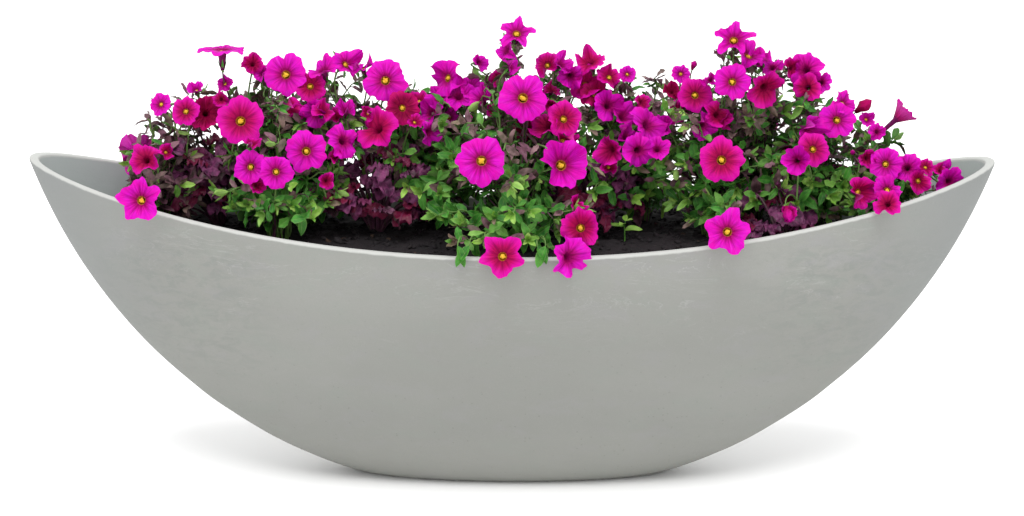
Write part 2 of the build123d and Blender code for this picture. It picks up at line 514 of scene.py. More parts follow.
def fibre_cement():
    k = Nodes("fibre_cement")
    pos = k.coord()
    x, y, z = k.xyz(pos)
    # a slow unevenness of the casting, flattened so that it runs along the hull
    flat = k.scaled(pos, (1.0, 1.0, 2.2))
    slow = k.noise(flat, 3.2, 3.0, 0.5)
    cloud = k.noise(flat, 9.0, 5.0, 0.6, 0.6)
    base = k.mix(k.ramp(slow, 0.35, 0.65), rgb(157, 158, 153), rgb(164, 165, 160))
    base = k.mix(k.ramp(cloud, 0.45, 0.72, 0.0, 0.45), base, rgb(160, 162, 157))
    # blotches where release agent stood, towards both ends of the flanks
    ends = k.math("ABSOLUTE", x)
    patchy = k.math("MULTIPLY", k.ramp(ends, 0.24, 0.38), k.ramp(ends, 0.56, 0.44))
    band = k.math("MULTIPLY", k.ramp(z, 0.12, 0.19), k.ramp(z, 0.36, 0.30))
    blotch = k.noise(flat, 38.0, 8.0, 0.74, 0.7)
    mask = k.math("MULTIPLY", k.math("MULTIPLY", patchy, band), k.ramp(blotch, 0.44, 0.62))
    base = k.mix(k.math("MULTIPLY", mask, 0.55), base, rgb(140, 145, 141))
    # a slight green and violet drift in the grey
    hue = k.noise(flat, 14.0, 4.0, 0.6, 0.4)
    base = k.mix(k.ramp(hue, 0.50, 0.68, 0.0, 0.30), base, rgb(156, 164, 156))
    base = k.mix(k.ramp(hue, 0.48, 0.32, 0.0, 0.28), base, rgb(166, 164, 168))
    light = k.noise(k.scaled(pos, (0.55, 1.0, 2.4)), 12.0, 5.0, 0.6, 2.4)
    line = k.math("SUBTRACT", 1.0, k.ramp(k.math("ABSOLUTE", k.math("SUBTRACT", light, 0.5)), 0.0, 0.012))
    streaks = k.math("MULTIPLY", line, k.math("MULTIPLY", k.ramp(z, 0.17, 0.25), k.ramp(cloud, 0.42, 0.6)))
    base = k.mix(k.math("MULTIPLY", streaks, 0.42), base, rgb(190, 191, 187))
    # fine speckle and sand
    speck = k.noise(pos, 900.0, 3.0, 0.7)
    base = k.mix(k.ramp(speck, 0.58, 0.70, 0.0, 0.22), base, rgb(140, 142, 137))
    base = k.mix(k.ramp(speck, 0.42, 0.30, 0.0, 0.22), base, rgb(200, 200, 195))
    grain = k.noise(pos, 240.0, 4.0, 0.6)
    base = k.mix(k.ramp(grain, 0.5, 0.75, 0.0, 0.20), base, rgb(150, 153, 147))
    # pin holes, more of them low down
    cells = k.voronoi(pos, 170.0)
    which = k.voronoi(pos, 170.0, out="Color")
    pick = k.ramp(k.xyz(which)[0], 0.80, 0.81)
    low = k.ramp(z, 0.30, 0.05, 0.25, 1.0)
    pit = k.math("MULTIPLY", k.math("MULTIPLY", k.ramp(cells, 0.22, 0.10), pick), low)
    base = k.mix(k.math("MULTIPLY", pit, 0.45), base, rgb(118, 118, 112))
    # painted shade: slightly darker and warmer towards the foot, then painted light: paler again in the lowest few
    # centimetres
    base = k.mix(k.ramp(z, 0.32, 0.20, 0.0, 0.40), base, rgb(150, 151, 146))
    base = k.mix(k.ramp(z, 0.10, 0.01, 0.0, 0.3), base, rgb(180, 180, 173))
    # painted shade: darker towards both ends of the hull, where the flanks turn away from the light
    base = k.mix(k.ramp(ends, 0.38, 0.58, 0.0, 0.85), base, rgb(150, 153, 152))
    # painted light: the inside above the soil is made paler than the outside, where the inner wall would otherwise
    # sit in shade
    inside = k.math("MULTIPLY", k.ramp(z, 0.300, 0.303), k.ramp(k.math("MULTIPLY", ends, 1.0), 0.40, 0.46))
    facing_in = k.math("MULTIPLY", k.xyz(k.n("NewGeometry").outputs["True Normal"])[0], k.math("SIGN", x))
    inside = k.math("MULTIPLY", inside, k.ramp(facing_in, -0.05, -0.25))
    base = k.mix(inside, base, rgb(178, 185, 183))
    # painted highlight on the rim: a light band within a few millimetres of the sheer line, where light catches the
    # rounded edge
    sheer = k.math("MULTIPLY_ADD", k.math("POWER", k.math("DIVIDE", ends, 0.6), 2.1), 0.089, 0.322)
    above = k.math("SUBTRACT", z, sheer)
    uneven = k.math("MULTIPLY_ADD", k.noise(pos, 70.0, 4.0, 0.6), 0.003, -0.0015)
    edge = k.ramp(k.math("ADD", above, uneven), -0.0040, -0.0016)
    base = k.mix(k.math("MULTIPLY", edge, 0.80), base, rgb(210, 211, 207))
    # white fibres here and there
    fib = k.noise(k.scaled(pos, (1.0, 1.0, 0.25)), 420.0, 1.0, 0.4, 3.0)
    fibre = k.math("SUBTRACT", 1.0, k.ramp(k.math("ABSOLUTE", k.math("SUBTRACT", fib, 0.5)), 0.0, 0.006))
    some = k.ramp(k.noise(pos, 60.0, 2.0), 0.60, 0.66)
    base = k.mix(k.math("MULTIPLY", k.math("MULTIPLY", fibre, some), 0.30), base, rgb(215, 215, 210))
    h = k.math("ADD", k.math("MULTIPLY", grain, 0.5), k.math("MULTIPLY", speck, 0.22))
    h = k.math("SUBTRACT", h, k.math("MULTIPLY", pit, 0.9))
    n1 = k.bump(cloud, 0.25, 0.004)
    n2 = k.bump(h, 0.35, 0.0009, n1)
    rough = k.ramp(cloud, 0.3, 0.7, 0.78, 0.9)
    return k.surface(base, rough, n2, specular=0.3)


def potting_soil():
    k = Nodes("potting_soil")
    pos = k.coord()
    tint = k.attr("tint")
    big = k.noise(pos, 28.0, 4.0, 0.6)
    fine = k.noise(pos, 420.0, 5.0, 0.7)
    c = k.mix(k.ramp(big, 0.35, 0.65), rgb(24, 19, 23), rgb(36, 29, 33))
    c = k.mix(k.ramp(fine, 0.5, 0.72, 0.0, 0.8), c, rgb(54, 45, 46))
    c = k.mix(k.ramp(fine, 0.45, 0.3, 0.0, 0.8), c, rgb(16, 13, 15))
    c = k.mix(k.ramp(tint, 0.6, 1.0, 0.0, 0.8), c, rgb(88, 66, 52))
    h = k.math("ADD", fine, k.math("MULTIPLY", k.noise(pos, 130.0, 4.0), 1.2))
    return k.surface(c, k.ramp(fine, 0.3, 0.7, 0.72, 0.95), k.bump(h, 0.6, 0.002), specular=0.35)


def root_ball_material():
    k = Nodes("root_ball")
    pos = k.coord()
    fine = k.noise(pos, 300.0, 5.0, 0.7)
    threads = k.noise(k.scaled(pos, (1, 1, 0.35)), 190.0, 2.0, 0.4, 2.5)
    line = k.math("SUBTRACT", 1.0, k.ramp(k.math("ABSOLUTE", k.math("SUBTRACT", threads, 0.5)), 0.0, 0.03))
    c = k.mix(k.ramp(fine, 0.35, 0.65), rgb(34, 27, 24), rgb(64, 50, 42))
    c = k.mix(k.math("MULTIPLY", line, 0.75), c, rgb(186, 168, 140))
    h = k.math("ADD", fine, k.math("MULTIPLY", line, 0.8))
    return k.surface(c, 0.9, k.bump(h, 0.6, 0.0015), specular=0.3)


def gravel_material():
    k = Nodes("gravel")
    pos = k.coord()
    d = k.voronoi(pos, 85.0)
    col = k.voronoi(pos, 85.0, out="Color")
    fine = k.noise(pos, 700.0, 4.0, 0.6)
    c = k.mix(k.xyz(col)[0], rgb(150, 96, 62), rgb(186, 140, 104))
    c = k.mix(k.ramp(fine, 0.5, 0.7, 0.0, 0.5), c, rgb(98, 60, 42))
    # painted shade: darker towards the edge of each stone, in the gaps between them
    c = k.mix(k.ramp(d, 0.35, 0.6), c, rgb(48, 32, 26))
    h = k.math("ADD", k.ramp(d, 0.6, 0.0), k.math("MULTIPLY", fine, 0.15))
    return k.surface(c, k.ramp(fine, 0.3, 0.7, 0.75, 0.95), k.bump(h, 0.8, 0.004), specular=0.3)


def fleece_material():
    k = Nodes("fleece")
    pos = k.coord()
    fibres = k.noise(k.scaled(pos, (1, 1, 0.2)), 700.0, 3.0, 0.6, 3.0)
    blot = k.noise(pos, 20.0, 3.0)
    c = k.mix(k.ramp(fibres, 0.4, 0.6), rgb(196, 195, 188), rgb(226, 226, 220))
    c = k.mix(k.ramp(blot, 0.55, 0.8, 0.0, 0.4), c, rgb(150, 138, 120))
    return k.surface(c, k.ramp(fibres, 0.3, 0.7, 0.85, 0.98), k.bump(fibres, 0.5, 0.0006), specular=0.2, sheen=0.2)


def mesh_plastic():
    k = Nodes("mesh_plastic")
    pos = k.coord()
    wx = k.n("TexWave", wave_type="BANDS", bands_direction="X")
    wy = k.n("TexWave", wave_type="BANDS", bands_direction="Y")
    for w in (wx, wy):
        k.put(w.inputs["Vector"], pos)
        w.inputs["Scale"].default_value = 160.0
        w.inputs["Distortion"].default_value = 0.0
    h = k.math("MAXIMUM", wx.outputs["Fac"], wy.outputs["Fac"])
    dust = k.noise(pos, 300.0, 4.0)
    c = k.mix(k.ramp(h, 0.4, 0.8), rgb(20, 20, 21), rgb(52, 52, 54))
    c = k.mix(k.ramp(dust, 0.55, 0.75, 0.0, 0.5), c, rgb(96, 88, 78))
    return k.surface(c, k.ramp(dust, 0.3, 0.7, 0.4, 0.65), k.bump(h, 0.7, 0.0006), specular=0.4)


def green_leaf():
    k = Nodes("petunia_leaf")
    s, v = k.uv()
    tint = k.attr("tint")
    side = k.attr("side")
    pos = k.coord()
    patch = k.noise(pos, 120.0, 3.0, 0.5)
    dark = k.mix(k.ramp(patch, 0.3, 0.7), rgb(40, 124, 38), rgb(94, 186, 64))
    fresh = k.mix(k.ramp(patch, 0.3, 0.7), rgb(156, 222, 72), rgb(214, 252, 134))
    c = k.mix(k.ramp(tint, 0.35, 1.0), dark, fresh)
    dusk = k.attr("dusk")
    dusky = k.mix(k.ramp(patch, 0.3, 0.7), rgb(112, 36, 84), rgb(184, 100, 150))
    # midrib and side veins run out from the middle of the blade
    across = k.math("ABSOLUTE", k.math("SUBTRACT", v, 0.5))
    rib = k.ramp(across, 0.07, 0.015)
    ang = k.math("SUBTRACT", k.math("MULTIPLY", s, 7.0), k.math("MULTIPLY", across, 5.0))
    wave = k.math("ABSOLUTE", k.math("SUBTRACT", k.math("FRACT", ang), 0.5))
    veins = k.math("MULTIPLY", k.ramp(wave, 0.10, 0.02), 0.6)
    both = k.math("MAXIMUM", rib, veins)
    c = k.mix(k.math("MULTIPLY", both, 0.45), c, rgb(150, 184, 104))
    c = k.mix(k.math("MULTIPLY", k.ramp(across, 0.40, 0.5), 0.45), c, rgb(176, 214, 120))
    c = k.mix(k.math("MULTIPLY", k.math("SUBTRACT", 1.0, side), 0.45), c, rgb(128, 158, 98))
    c = k.mix(k.math("MULTIPLY", dusk, 0.86), c, dusky)
    h = k.math("SUBTRACT", k.math("MULTIPLY", k.noise(pos, 650.0, 3.0), 0.35), both)
    glow = k.mix(k.ramp(tint, 0.3, 1.0), rgb(96, 160, 30), rgb(180, 214, 60))
    glow = k.mix(dusk, glow, rgb(120, 30, 70))
    return k.surface(c, k.ramp(patch, 0.3, 0.7, 0.36, 0.54), k.bump(h, 0.45, 0.0009),
                     specular=0.36, translucent=glow, share=0.24)


def green_stem():
    k = Nodes("petunia_stem")
    tint = k.attr("tint")
    pos = k.coord()
    n = k.noise(k.scaled(pos, (1, 1, 0.3)), 220.0, 3.0)
    c = k.mix(k.ramp(tint, 0.3, 0.8), rgb(104, 142, 66), rgb(104, 58, 82))
    c = k.mix(k.ramp(n, 0.5, 0.7, 0.0, 0.5), c, rgb(62, 96, 42))
    return k.surface(c, k.ramp(n, 0.3, 0.7, 0.5, 0.7), k.bump(n, 0.3, 0.0005), specular=0.4)


def purple_leaf_material():
    k = Nodes("purple_leaf")
    s, v = k.uv()
    tint = k.attr("tint")
    side = k.attr("side")
    pos = k.coord()
    patch = k.noise(pos, 90.0, 4.0, 0.6)
    c = k.mix(k.ramp(patch, 0.35, 0.65), rgb(68, 24, 58), rgb(146, 70, 120))
    c = k.mix(k.ramp(tint, 0.5, 0.85, 0.0, 0.85), c, rgb(128, 16, 56))
    c = k.mix(k.ramp(tint, 0.35, 0.1, 0.0, 0.6), c, rgb(74, 92, 54))
    across = k.math("ABSOLUTE", k.math("SUBTRACT", v, 0.5))
    rib = k.ramp(across, 0.06, 0.012)
    ang = k.math("SUBTRACT", k.math("MULTIPLY", s, 6.0), k.math("MULTIPLY", across, 6.0))
    wave = k.math("ABSOLUTE", k.math("SUBTRACT", k.math("FRACT", ang), 0.5))
    veins = k.math("MAXIMUM", rib, k.math("MULTIPLY", k.ramp(wave, 0.12, 0.02), 0.5))
    c = k.mix(k.math("MULTIPLY", veins, 0.5), c, rgb(136, 74, 110))
    c = k.mix(k.math("MULTIPLY", k.ramp(across, 0.41, 0.5), 0.5), c, rgb(120, 62, 96))
    c = k.mix(k.math("MULTIPLY", k.math("SUBTRACT", 1.0, side), 0.5), c, rgb(112, 30, 70))
    pucker = k.noise(pos, 160.0, 3.0, 0.6)
    h = k.math("SUBTRACT", pucker, k.math("MULTIPLY", veins, 0.6))
    return k.surface(c, k.ramp(patch, 0.3, 0.7, 0.32, 0.5), k.bump(h, 0.6, 0.0016),
                     specular=0.22, translucent=rgb(150, 10, 54), share=0.14)


def petal_material():
    k = Nodes("petunia_flower")
    a, r = k.uv()
    tint = k.attr("tint")
    side = k.attr("side")
    eyed = k.attr("eyed")
    pos = k.coord()
    n = k.noise(pos, 90.0, 3.0, 0.5)
    hot = k.mix(k.ramp(n, 0.35, 0.65), rgb(255, 0, 206), rgb(255, 16, 230))
    rose = k.mix(k.ramp(r, 0.40, 0.95), rgb(222, 0, 100), rgb(252, 4, 190))
    deep = k.mix(k.ramp(r, 0.40, 1.0), rgb(156, 0, 56), rgb(220, 0, 122))
    c = k.mix(k.ramp(tint, 0.0, 1.0, smooth=False), hot, rose)
    c = k.mix(k.ramp(tint, 1.0, 2.0, smooth=False), c, deep)
    # uneven radial streaks: the petal is darker near the throat, lighter at its edge
    comb = k.n("CombineXYZ")
    k.put(comb.inputs[0], k.math("MULTIPLY", a, 9.0))
    k.put(comb.inputs[1], k.math("MULTIPLY", r, 1.1))
    k.put(comb.inputs[2], k.math("MULTIPLY", tint, 7.0))
    streak = k.noise(comb.outputs[0], 1.0, 4.0, 0.6)
    c = k.mix(k.math("MULTIPLY", k.ramp(streak, 0.50, 0.72), k.ramp(r, 0.3, 0.8, 0.15, 0.45)), c,
              k.mix(k.ramp(tint, 0.0, 1.6, smooth=False), rgb(255, 84, 240), rgb(255, 30, 150)))
    c = k.mix(k.math("MULTIPLY", k.ramp(streak, 0.50, 0.30), k.ramp(r, 1.0, 0.4, 0.15, 0.6)), c,
              k.mix(k.ramp(tint, 0.0, 1.6, smooth=False), rgb(178, 0, 134), rgb(112, 0, 40)))
    # veins fan out from the throat; UV x counts the five lobes
    lobe = k.math("FRACT", a)
    off = k.math("ABSOLUTE", k.math("SUBTRACT", lobe, 0.5))
    mid = k.ramp(off, 0.06, 0.01)
    cut = k.ramp(off, 0.44, 0.5, 0.0, 0.8)
    fan = k.math("ABSOLUTE", k.math("SUBTRACT", k.math("FRACT", k.math("MULTIPLY", a, 6.0)), 0.5))
    thin = k.ramp(fan, 0.20, 0.04, 0.0, 0.5)
    vein = k.math("MULTIPLY", k.math("MAXIMUM", k.math("MAXIMUM", mid, cut), thin), k.ramp(r, 1.0, 0.5, 0.05, 1.0))
    c = k.mix(k.math("MULTIPLY", vein, 0.5), c, rgb(160, 0, 96))
    # glow of crimson round the throat, the throat itself golden
    c = k.mix(k.ramp(r, 0.60, 0.22, 0.0, 0.80), c, rgb(176, 0, 78))
    eye = k.math("MULTIPLY", k.math("MULTIPLY", k.ramp(r, 0.222, 0.165), side), eyed)
    c = k.mix(eye, c, k.mix(k.ramp(r, 0.05, 0.2), rgb(224, 160, 20), rgb(246, 172, 30)))
    # the back of the limb is paler, the outside of the tube purple
    back = k.math("SUBTRACT", 1.0, side)
    c = k.mix(k.math("MULTIPLY", back, k.ramp(r, 0.4, 0.8, 0.1, 0.4)), c, rgb(240, 110, 205))
    c = k.mix(k.math("MULTIPLY", back, k.ramp(r, 0.42, 0.25)), c, rgb(150, 40, 120))
    h = k.math("ADD", k.math("MULTIPLY", k.noise(pos, 900.0, 3.0), 0.3), k.math("MULTIPLY", streak, 1.2))
    h = k.math("SUBTRACT", h, vein)
    glow = k.mix(k.ramp(tint, 0.0, 1.5, smooth=False), rgb(255, 20, 214), rgb(220, 0, 96))
    glow = k.mix(eye, glow, rgb(255, 170, 30))
    return k.surface(c, k.ramp(n, 0.3, 0.7, 0.5, 0.68), k.bump(h, 0.8, 0.0012),
                     specular=0.12, translucent=glow, share=0.28)


def anther_material():
    k = Nodes("petunia_anther")
    pos = k.coord()
    n = k.noise(pos, 900.0, 4.0, 0.7)
    c = k.mix(k.ramp(n, 0.35, 0.65), rgb(226, 158, 20), rgb(255, 214, 70))
    return k.surface(c, k.ramp(n, 0.3, 0.7, 0.7, 0.9), k.bump(n, 0.7, 0.0006), specular=0.3)


M = {
    "fibre_cement": fibre_cement(),
    "soil": potting_soil(),
    "root_ball": root_ball_material(),
    "gravel": gravel_material(),
    "fleece": fleece_material(),
    "mesh": mesh_plastic(),
    "leaf": green_leaf(),
    "stem": green_stem(),
    "purple": purple_leaf_material(),
    "petal": petal_material(),
    "anther": anther_material(),
}


# ------------------------------------------------------------------ carried-over CAD nodes
def dress(node, material):
    for ob in bpy.data.objects:
        if ob.type == "MESH" and (ob.name == node or ob.get("node") == node):
            ob.data.materials.clear()
            ob.data.materials.append(material)
            return ob
    raise SystemExit("no node object " + node)


dress("planter_shell", M["fibre_cement"])
dress("drain_hole_screens", M["mesh"])
dress("drainage_gravel", M["gravel"])
dress("filter_fleece", M["fleece"])
dress("soil_fill", M["soil"])

PLANTS = {}
for node in frame["nodes"]:
    if node.endswith("_crown"):
        lo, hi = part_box(node)
        PLANTS[node[:-6]] = ((lo.x + hi.x) / 2, (lo.y + hi.y) / 2, (hi.x - lo.x) / 2, hi.z)
    if node.endswith("_root_ball"):
        dress(node, M["root_ball"])


# ------------------------------------------------------------------ loose top layer of the soil
def lump_shape():
    """A small rounded 42-point body, to be squashed and dented."""
    import bmesh

    bm = bmesh.new()
    bmesh.ops.create_icosphere(bm, subdivisions=2, radius=1.0)
    v = np.array([list(p.co) for p in bm.verts])
    bm.faces.ensure_lookup_table()
    f = np.array([[q.index for q in g.verts] for g in bm.faces])
    bm.free()
    return v, f


LUMP_V, LUMP_F = lump_shape()


def add_lumps(store, centers, sizes, flat=0.7, rough=0.25, tint=0.5, side=1.0, seed=0):
    centers = np.atleast_2d(centers)
    n = len(centers)
    m = len(LUMP_V)
    sizes = np.broadcast_to(sizes, (n,))
    sc = np.stack(
        [rng.uniform(0.75, 1.25, n), rng.uniform(0.6, 1.1, n), flat * rng.uniform(0.7, 1.2, n)], -1
    )
    p = LUMP_V[None] * sc[:, None, :]
    a = rng.uniform(0, 2 * np.pi, n)
    b = rng.uniform(-0.5, 0.5, n)
    x = p[..., 0] * np.cos(a)[:, None] - p[..., 1] * np.sin(a)[:, None]
    y = p[..., 0] * np.sin(a)[:, None] + p[..., 1] * np.cos(a)[:, None]
    z = p[..., 2] + x * np.sin(b)[:, None]
    p = np.stack([x, y, z], -1)
    d = noise(LUMP_V[None] * 1.6 + rng.uniform(0, 50, (n, 1, 3)), seed)
    p = p * (1 + rough * 2 * (d[..., None] - 0.5))
    v = centers[:, None, :] + p * sizes[:, None, None]
    t = LUMP_F[None] + (np.arange(n) * m)[:, None, None]
    store.add(v.reshape(-1, 3), tris=t.reshape(-1, 3),
              tint=np.repeat(np.broadcast_to(tint, (n,)), m), side=side)


def soil_height(x, y):
    p = np.stack([x, y, np.zeros_like(x)], -1)
    h = 0.0042 + 0.0035 * (fbm(p * 14, 3, 3) - 0.5) * 2
    h = h + 0.0050 * (fbm(p * 55, 5, 3) - 0.5)
    h = h + 0.0042 * np.maximum(noise(p * 120, 9) - 0.45, 0) * 1.6
    h = h + 0.0022 * (noise(p * 260, 11) - 0.5)
    return SOIL_Z + np.clip(h, 0.0006, 0.012)


soil_a = SOIL_HI.x - 0.0004
soil_b = SOIL_HI.y - 0.0004
rings, spokes = 60, 420
rr = np.sqrt(np.linspace(0.0, 1.0, rings + 1))[1:]
rr = np.linspace(1 / rings, 1.0, rings)
th = np.arange(spokes) * 2 * np.pi / spokes
RR, TT = np.meshgrid(rr, th, indexing="ij")
ex = soil_a * RR * np.cos(TT)
ey = soil_b * RR * np.sin(TT)
ez = soil_height(ex, ey)
ez[-1] = SOIL_Z + 0.0030
# the wall leans outwards, so the layer's edge follows it
grow = (ez - SOIL_Z) * (RR > 0.985)
ex = ex + grow * 0.5 * np.cos(TT)
ey = ey + grow * 0.2 * np.sin(TT)
soil = Store("tint", "side")
top = np.stack([ex, ey, ez], -1).reshape(-1, 3)
low = np.stack([soil_a * np.cos(th), soil_b * np.sin(th), np.full(spokes, SOIL_Z + 0.0002)], -1)
v = np.concatenate([top, low, [[0, 0, soil_height(np.zeros(1), np.zeros(1))[0]]], [[0, 0, SOIL_Z + 0.0002]]])
idx = np.arange(rings * spokes).reshape(rings, spokes)
nx = np.roll(idx, -1, 1)
q = np.stack([idx[:-1], idx[1:], nx[1:], nx[:-1]], -1).reshape(-1, 4)
lowi = rings * spokes + np.arange(spokes)
lown = np.roll(lowi, -1)
q = np.concatenate([q, np.stack([idx[-1], lowi, lown, nx[-1]], -1)])
ctop = rings * spokes + spokes
t = np.concatenate([
    np.stack([np.full(spokes, ctop), idx[0], nx[0]], -1),
    np.stack([np.full(spokes, ctop + 1), lown, lowi], -1),
])
soil.add(v, quads=q, tris=t, tint=0.2)
# crumbs, lumps and bits of bark
n = 1500
rad = np.sqrt(rng.uniform(0, 0.96, n))
ang = rng.uniform(0, 2 * np.pi, n)
cx, cy = soil_a * rad * np.cos(ang), soil_b * rad * np.sin(ang)
s = rng.uniform(0.0016, 0.0042, n) * np.where(rng.uniform(0, 1, n) > 0.93, 1.7, 1.0)
cz = soil_height(cx, cy) + s * 0.25
add_lumps(soil, np.stack([cx, cy, cz], -1), s, flat=0.65, rough=0.45,
          tint=np.where(rng.uniform(0, 1, n) > 0.9, rng.uniform(0.6, 1.0, n), rng.uniform(0, 0.5, n)))
soil_piece = soil.build("soil_surface", M["soil"], smooth=True)


# ------------------------------------------------------------------ blooms
def facing(tx, tz):
    return unit(np.array([0, -0.966, 0.259]) + tx * np.array([1, 0, 0]) + tz * np.array([0, 0.259, 0.966]))


BLOOM_A = 50
BLOOM_R = np.array([0.055, 0.11, 0.16, 0.20, 0.25, 0.34, 0.46, 0.60, 0.74, 0.88, 1.0])


def add_bloom(petals, anthers, green, c, dia, nrm, tint, shape, tube=0.42, roll=None, open_=1.0,
              eyed=1.0):
    c = np.asarray(c, float)
    nrm = unit(nrm)
    ref = np.array([0, 0, 1.0]) if abs(nrm[2]) < 0.9 else np.array([1.0, 0, 0])
    u = unit(np.cross(ref, nrm))
    w = np.cross(nrm, u)
    R = dia / 2
    roll = rng.uniform(0, 2 * np.pi) if roll is None else roll
    A, rr = BLOOM_A, BLOOM_R
    th = np.arange(A) * 2 * np.pi / A
    RRg, TH = np.meshgrid(rr, th, indexing="ij")
    lobe = np.abs(np.cos(2.5 * TH))
    if shape == "p":
        line = 0.74 + 0.26 * lobe**1.6
        line = line / 0.95
    elif shape == "s":
        line = 0.50 + 0.50 * lobe**2.2
    elif shape == "c":
        line = 0.84 + 0.16 * lobe**0.7
    else:
        line = 0.865 + 0.135 * lobe**0.7
    limb = np.clip((RRg - 0.25) / 0.75, 0, 1)
    line = 1 + (line - 1) * limb**1.3
    rad = RRg * R * line
    ph = rng.uniform(0, 6.28, 4)
    k0 = 0.6 if shape == "r" else 1.15
    rad = rad * (1 + k0 * 0.05 * limb * np.sin(3 * TH + ph[0]) + k0 * 0.045 * limb * np.sin(7 * TH + ph[1])
                 + 0.026 * limb**2 * np.sin(17 * TH + ph[2]) + 0.024 * limb**2 * np.sin(11 * TH + ph[3]))
    # small notches bitten into the edge
    for _ in range(rng.integers(2, 6)):
        at = rng.uniform(0, 2 * np.pi)
        far = (TH - at + np.pi) % (2 * np.pi) - np.pi
        rad = rad * (1 - rng.uniform(0.04, 0.13) * limb**2 * np.exp(-((far / rng.uniform(0.09, 0.2)) ** 2)))
    # a shallow golden mouth, then the narrow tube
    d0 = np.clip((0.25 - RRg) / 0.09, 0, 1)
    d1 = np.clip((0.16 - RRg) / 0.105, 0, 1)
    z = -0.07 * dia * d0 - (tube - 0.07) * dia * d1**0.8
    cup = rng.uniform(0.02, 0.10) if shape == "r" else rng.uniform(0.05, 0.22)
    z = z + cup * dia * limb - 0.07 * dia * np.clip(limb - 0.55, 0, 1) ** 2 * 4 * (0.5 + 0.5 * lobe)
    z = z - 0.022 * dia * limb * (1 - lobe) ** 1.5
    z = z + 0.010 * dia * limb * np.exp(-((lobe - 1) / 0.10) ** 2) * -1.0
    ruff = 0.024 if shape == "r" else 0.042
    ph = rng.uniform(0, 6.28, 4)
    z = z + ruff * dia * limb**1.5 * np.sin(5 * TH + ph[0])
    z = z + ruff * 0.7 * dia * limb**2 * np.sin(11 * TH + ph[1])
    z = z + ruff * 0.55 * dia * limb**2 * np.sin(20 * TH + ph[2])
    if shape == "f":
        z = z + 0.85 * R * limb
    if shape == "c":
        for i in range(5):
            d = (TH - i * 2 * np.pi / 5 + np.pi) % (2 * np.pi) - np.pi
            wgt = np.where(np.abs(d) < np.pi / 5, np.cos(2.5 * d) ** 2, 0.0)
            tilt = rng.uniform(-0.9, 1.2) if dia < 0.052 else rng.uniform(-0.7, 0.7)
            z = z + tilt * wgt * limb * R * 0.85
            rad = rad * (1 - 0.32 * abs(tilt) * wgt * limb)
    rad = rad * open_
    ang = TH + roll
    top = (
        c + rad[..., None] * (np.cos(ang)[..., None] * u + np.sin(ang)[..., None] * w)
        + z[..., None] * nrm
    )
    nr = len(rr)
    du = np.gradient(top, axis=0)
    dv = np.roll(top, -1, 1) - np.roll(top, 1, 1)
    N = unit(np.cross(du, dv))
    back = top[:-1] - N[:-1] * np.linspace(0.0008, 0.0003, nr - 1)[:, None, None]
    cen = c - nrm * tube * dia * 0.97
    cenb = c - nrm * (tube * dia + 0.0014)
    v = np.concatenate([top.reshape(-1, 3), back.reshape(-1, 3), [cen], [cenb]])
    it = np.arange(nr * A).reshape(nr, A)
    ib = nr * A + np.arange((nr - 1) * A).reshape(nr - 1, A)
    ib = np.concatenate([ib, it[-1:]])
    q1 = np.stack([it[:-1], it[1:], np.roll(it, -1, 1)[1:], np.roll(it, -1, 1)[:-1]], -1)
    q2 = np.stack([ib[:-1], np.roll(ib, -1, 1)[:-1], np.roll(ib, -1, 1)[1:], ib[1:]], -1)
    k = len(v)
    t1 = np.stack([np.full(A, k - 2), it[0], np.roll(it[0], -1)], -1)
    t2 = np.stack([np.full(A, k - 1), np.roll(ib[0], -1), ib[0]], -1)
    uvt = np.stack([(TH * 5 / (2 * np.pi) + 0.5), RRg], -1).reshape(-1, 2)
    uvb = uvt.reshape(nr, A, 2)[:-1].reshape(-1, 2)
    uv = np.concatenate([uvt, uvb, [[0.5, 0.0]], [[0.5, 0.0]]])
    rim = np.zeros(k, bool)
    rim[it[-1]] = True
    side = np.concatenate([np.ones(nr * A), np.zeros((nr - 1) * A), [1], [0]])
    side[it[-1]] = 1.0
    petals.add(v, quads=np.concatenate([q1.reshape(-1, 4), q2.reshape(-1, 4)]),
               tris=np.concatenate([t1, t2]), uv=uv, rim=rim,
               tint=tint + rng.uniform(-0.12, 0.12), side=side, eyed=eyed)
    # anthers and stigma in the throat
    if anthers is not None and eyed > 0.5:
        m = 7
        a = np.arange(m) * 2.0 * np.pi / 6 + rng.uniform(0, 6.28)
        mid = np.arange(m) == 0
        r_ = np.where(mid, 0.0, 0.066 * R * rng.uniform(0.7, 1.25, m))
        p = c - nrm * dia * 0.054 + r_[:, None] * (np.cos(a)[:, None] * u + np.sin(a)[:, None] * w)
        add_lumps(anthers, p, np.where(mid, 0.098, 0.060) * R + 0.0003, flat=0.9, rough=0.25)
    base = c - nrm * (tube * dia + 0.0012)
    # sepals
    k5 = 5
    a = roll + np.arange(k5) * 2 * np.pi / 5 + 0.3
    radial = np.cos(a)[:, None] * u + np.sin(a)[:, None] * w
    along = unit(0.9 * nrm + 0.55 * radial)
    # behind a short tube they are only a knot, so that they stay out of the throat
    short = tube < 0.3
    add_leaves(green, np.repeat([base], k5, 0) + radial * 0.0006, along, radial, 0.0012 if short else 0.20 * dia + 0.004,
               0.0030, "lance", droop=0.25, fold=0.3, tint=0.35, grid=(5, 3))
    add_lumps(green, [base], [0.0008 if short else 0.0019], flat=1.0, rough=0.1, tint=0.35)
    return base


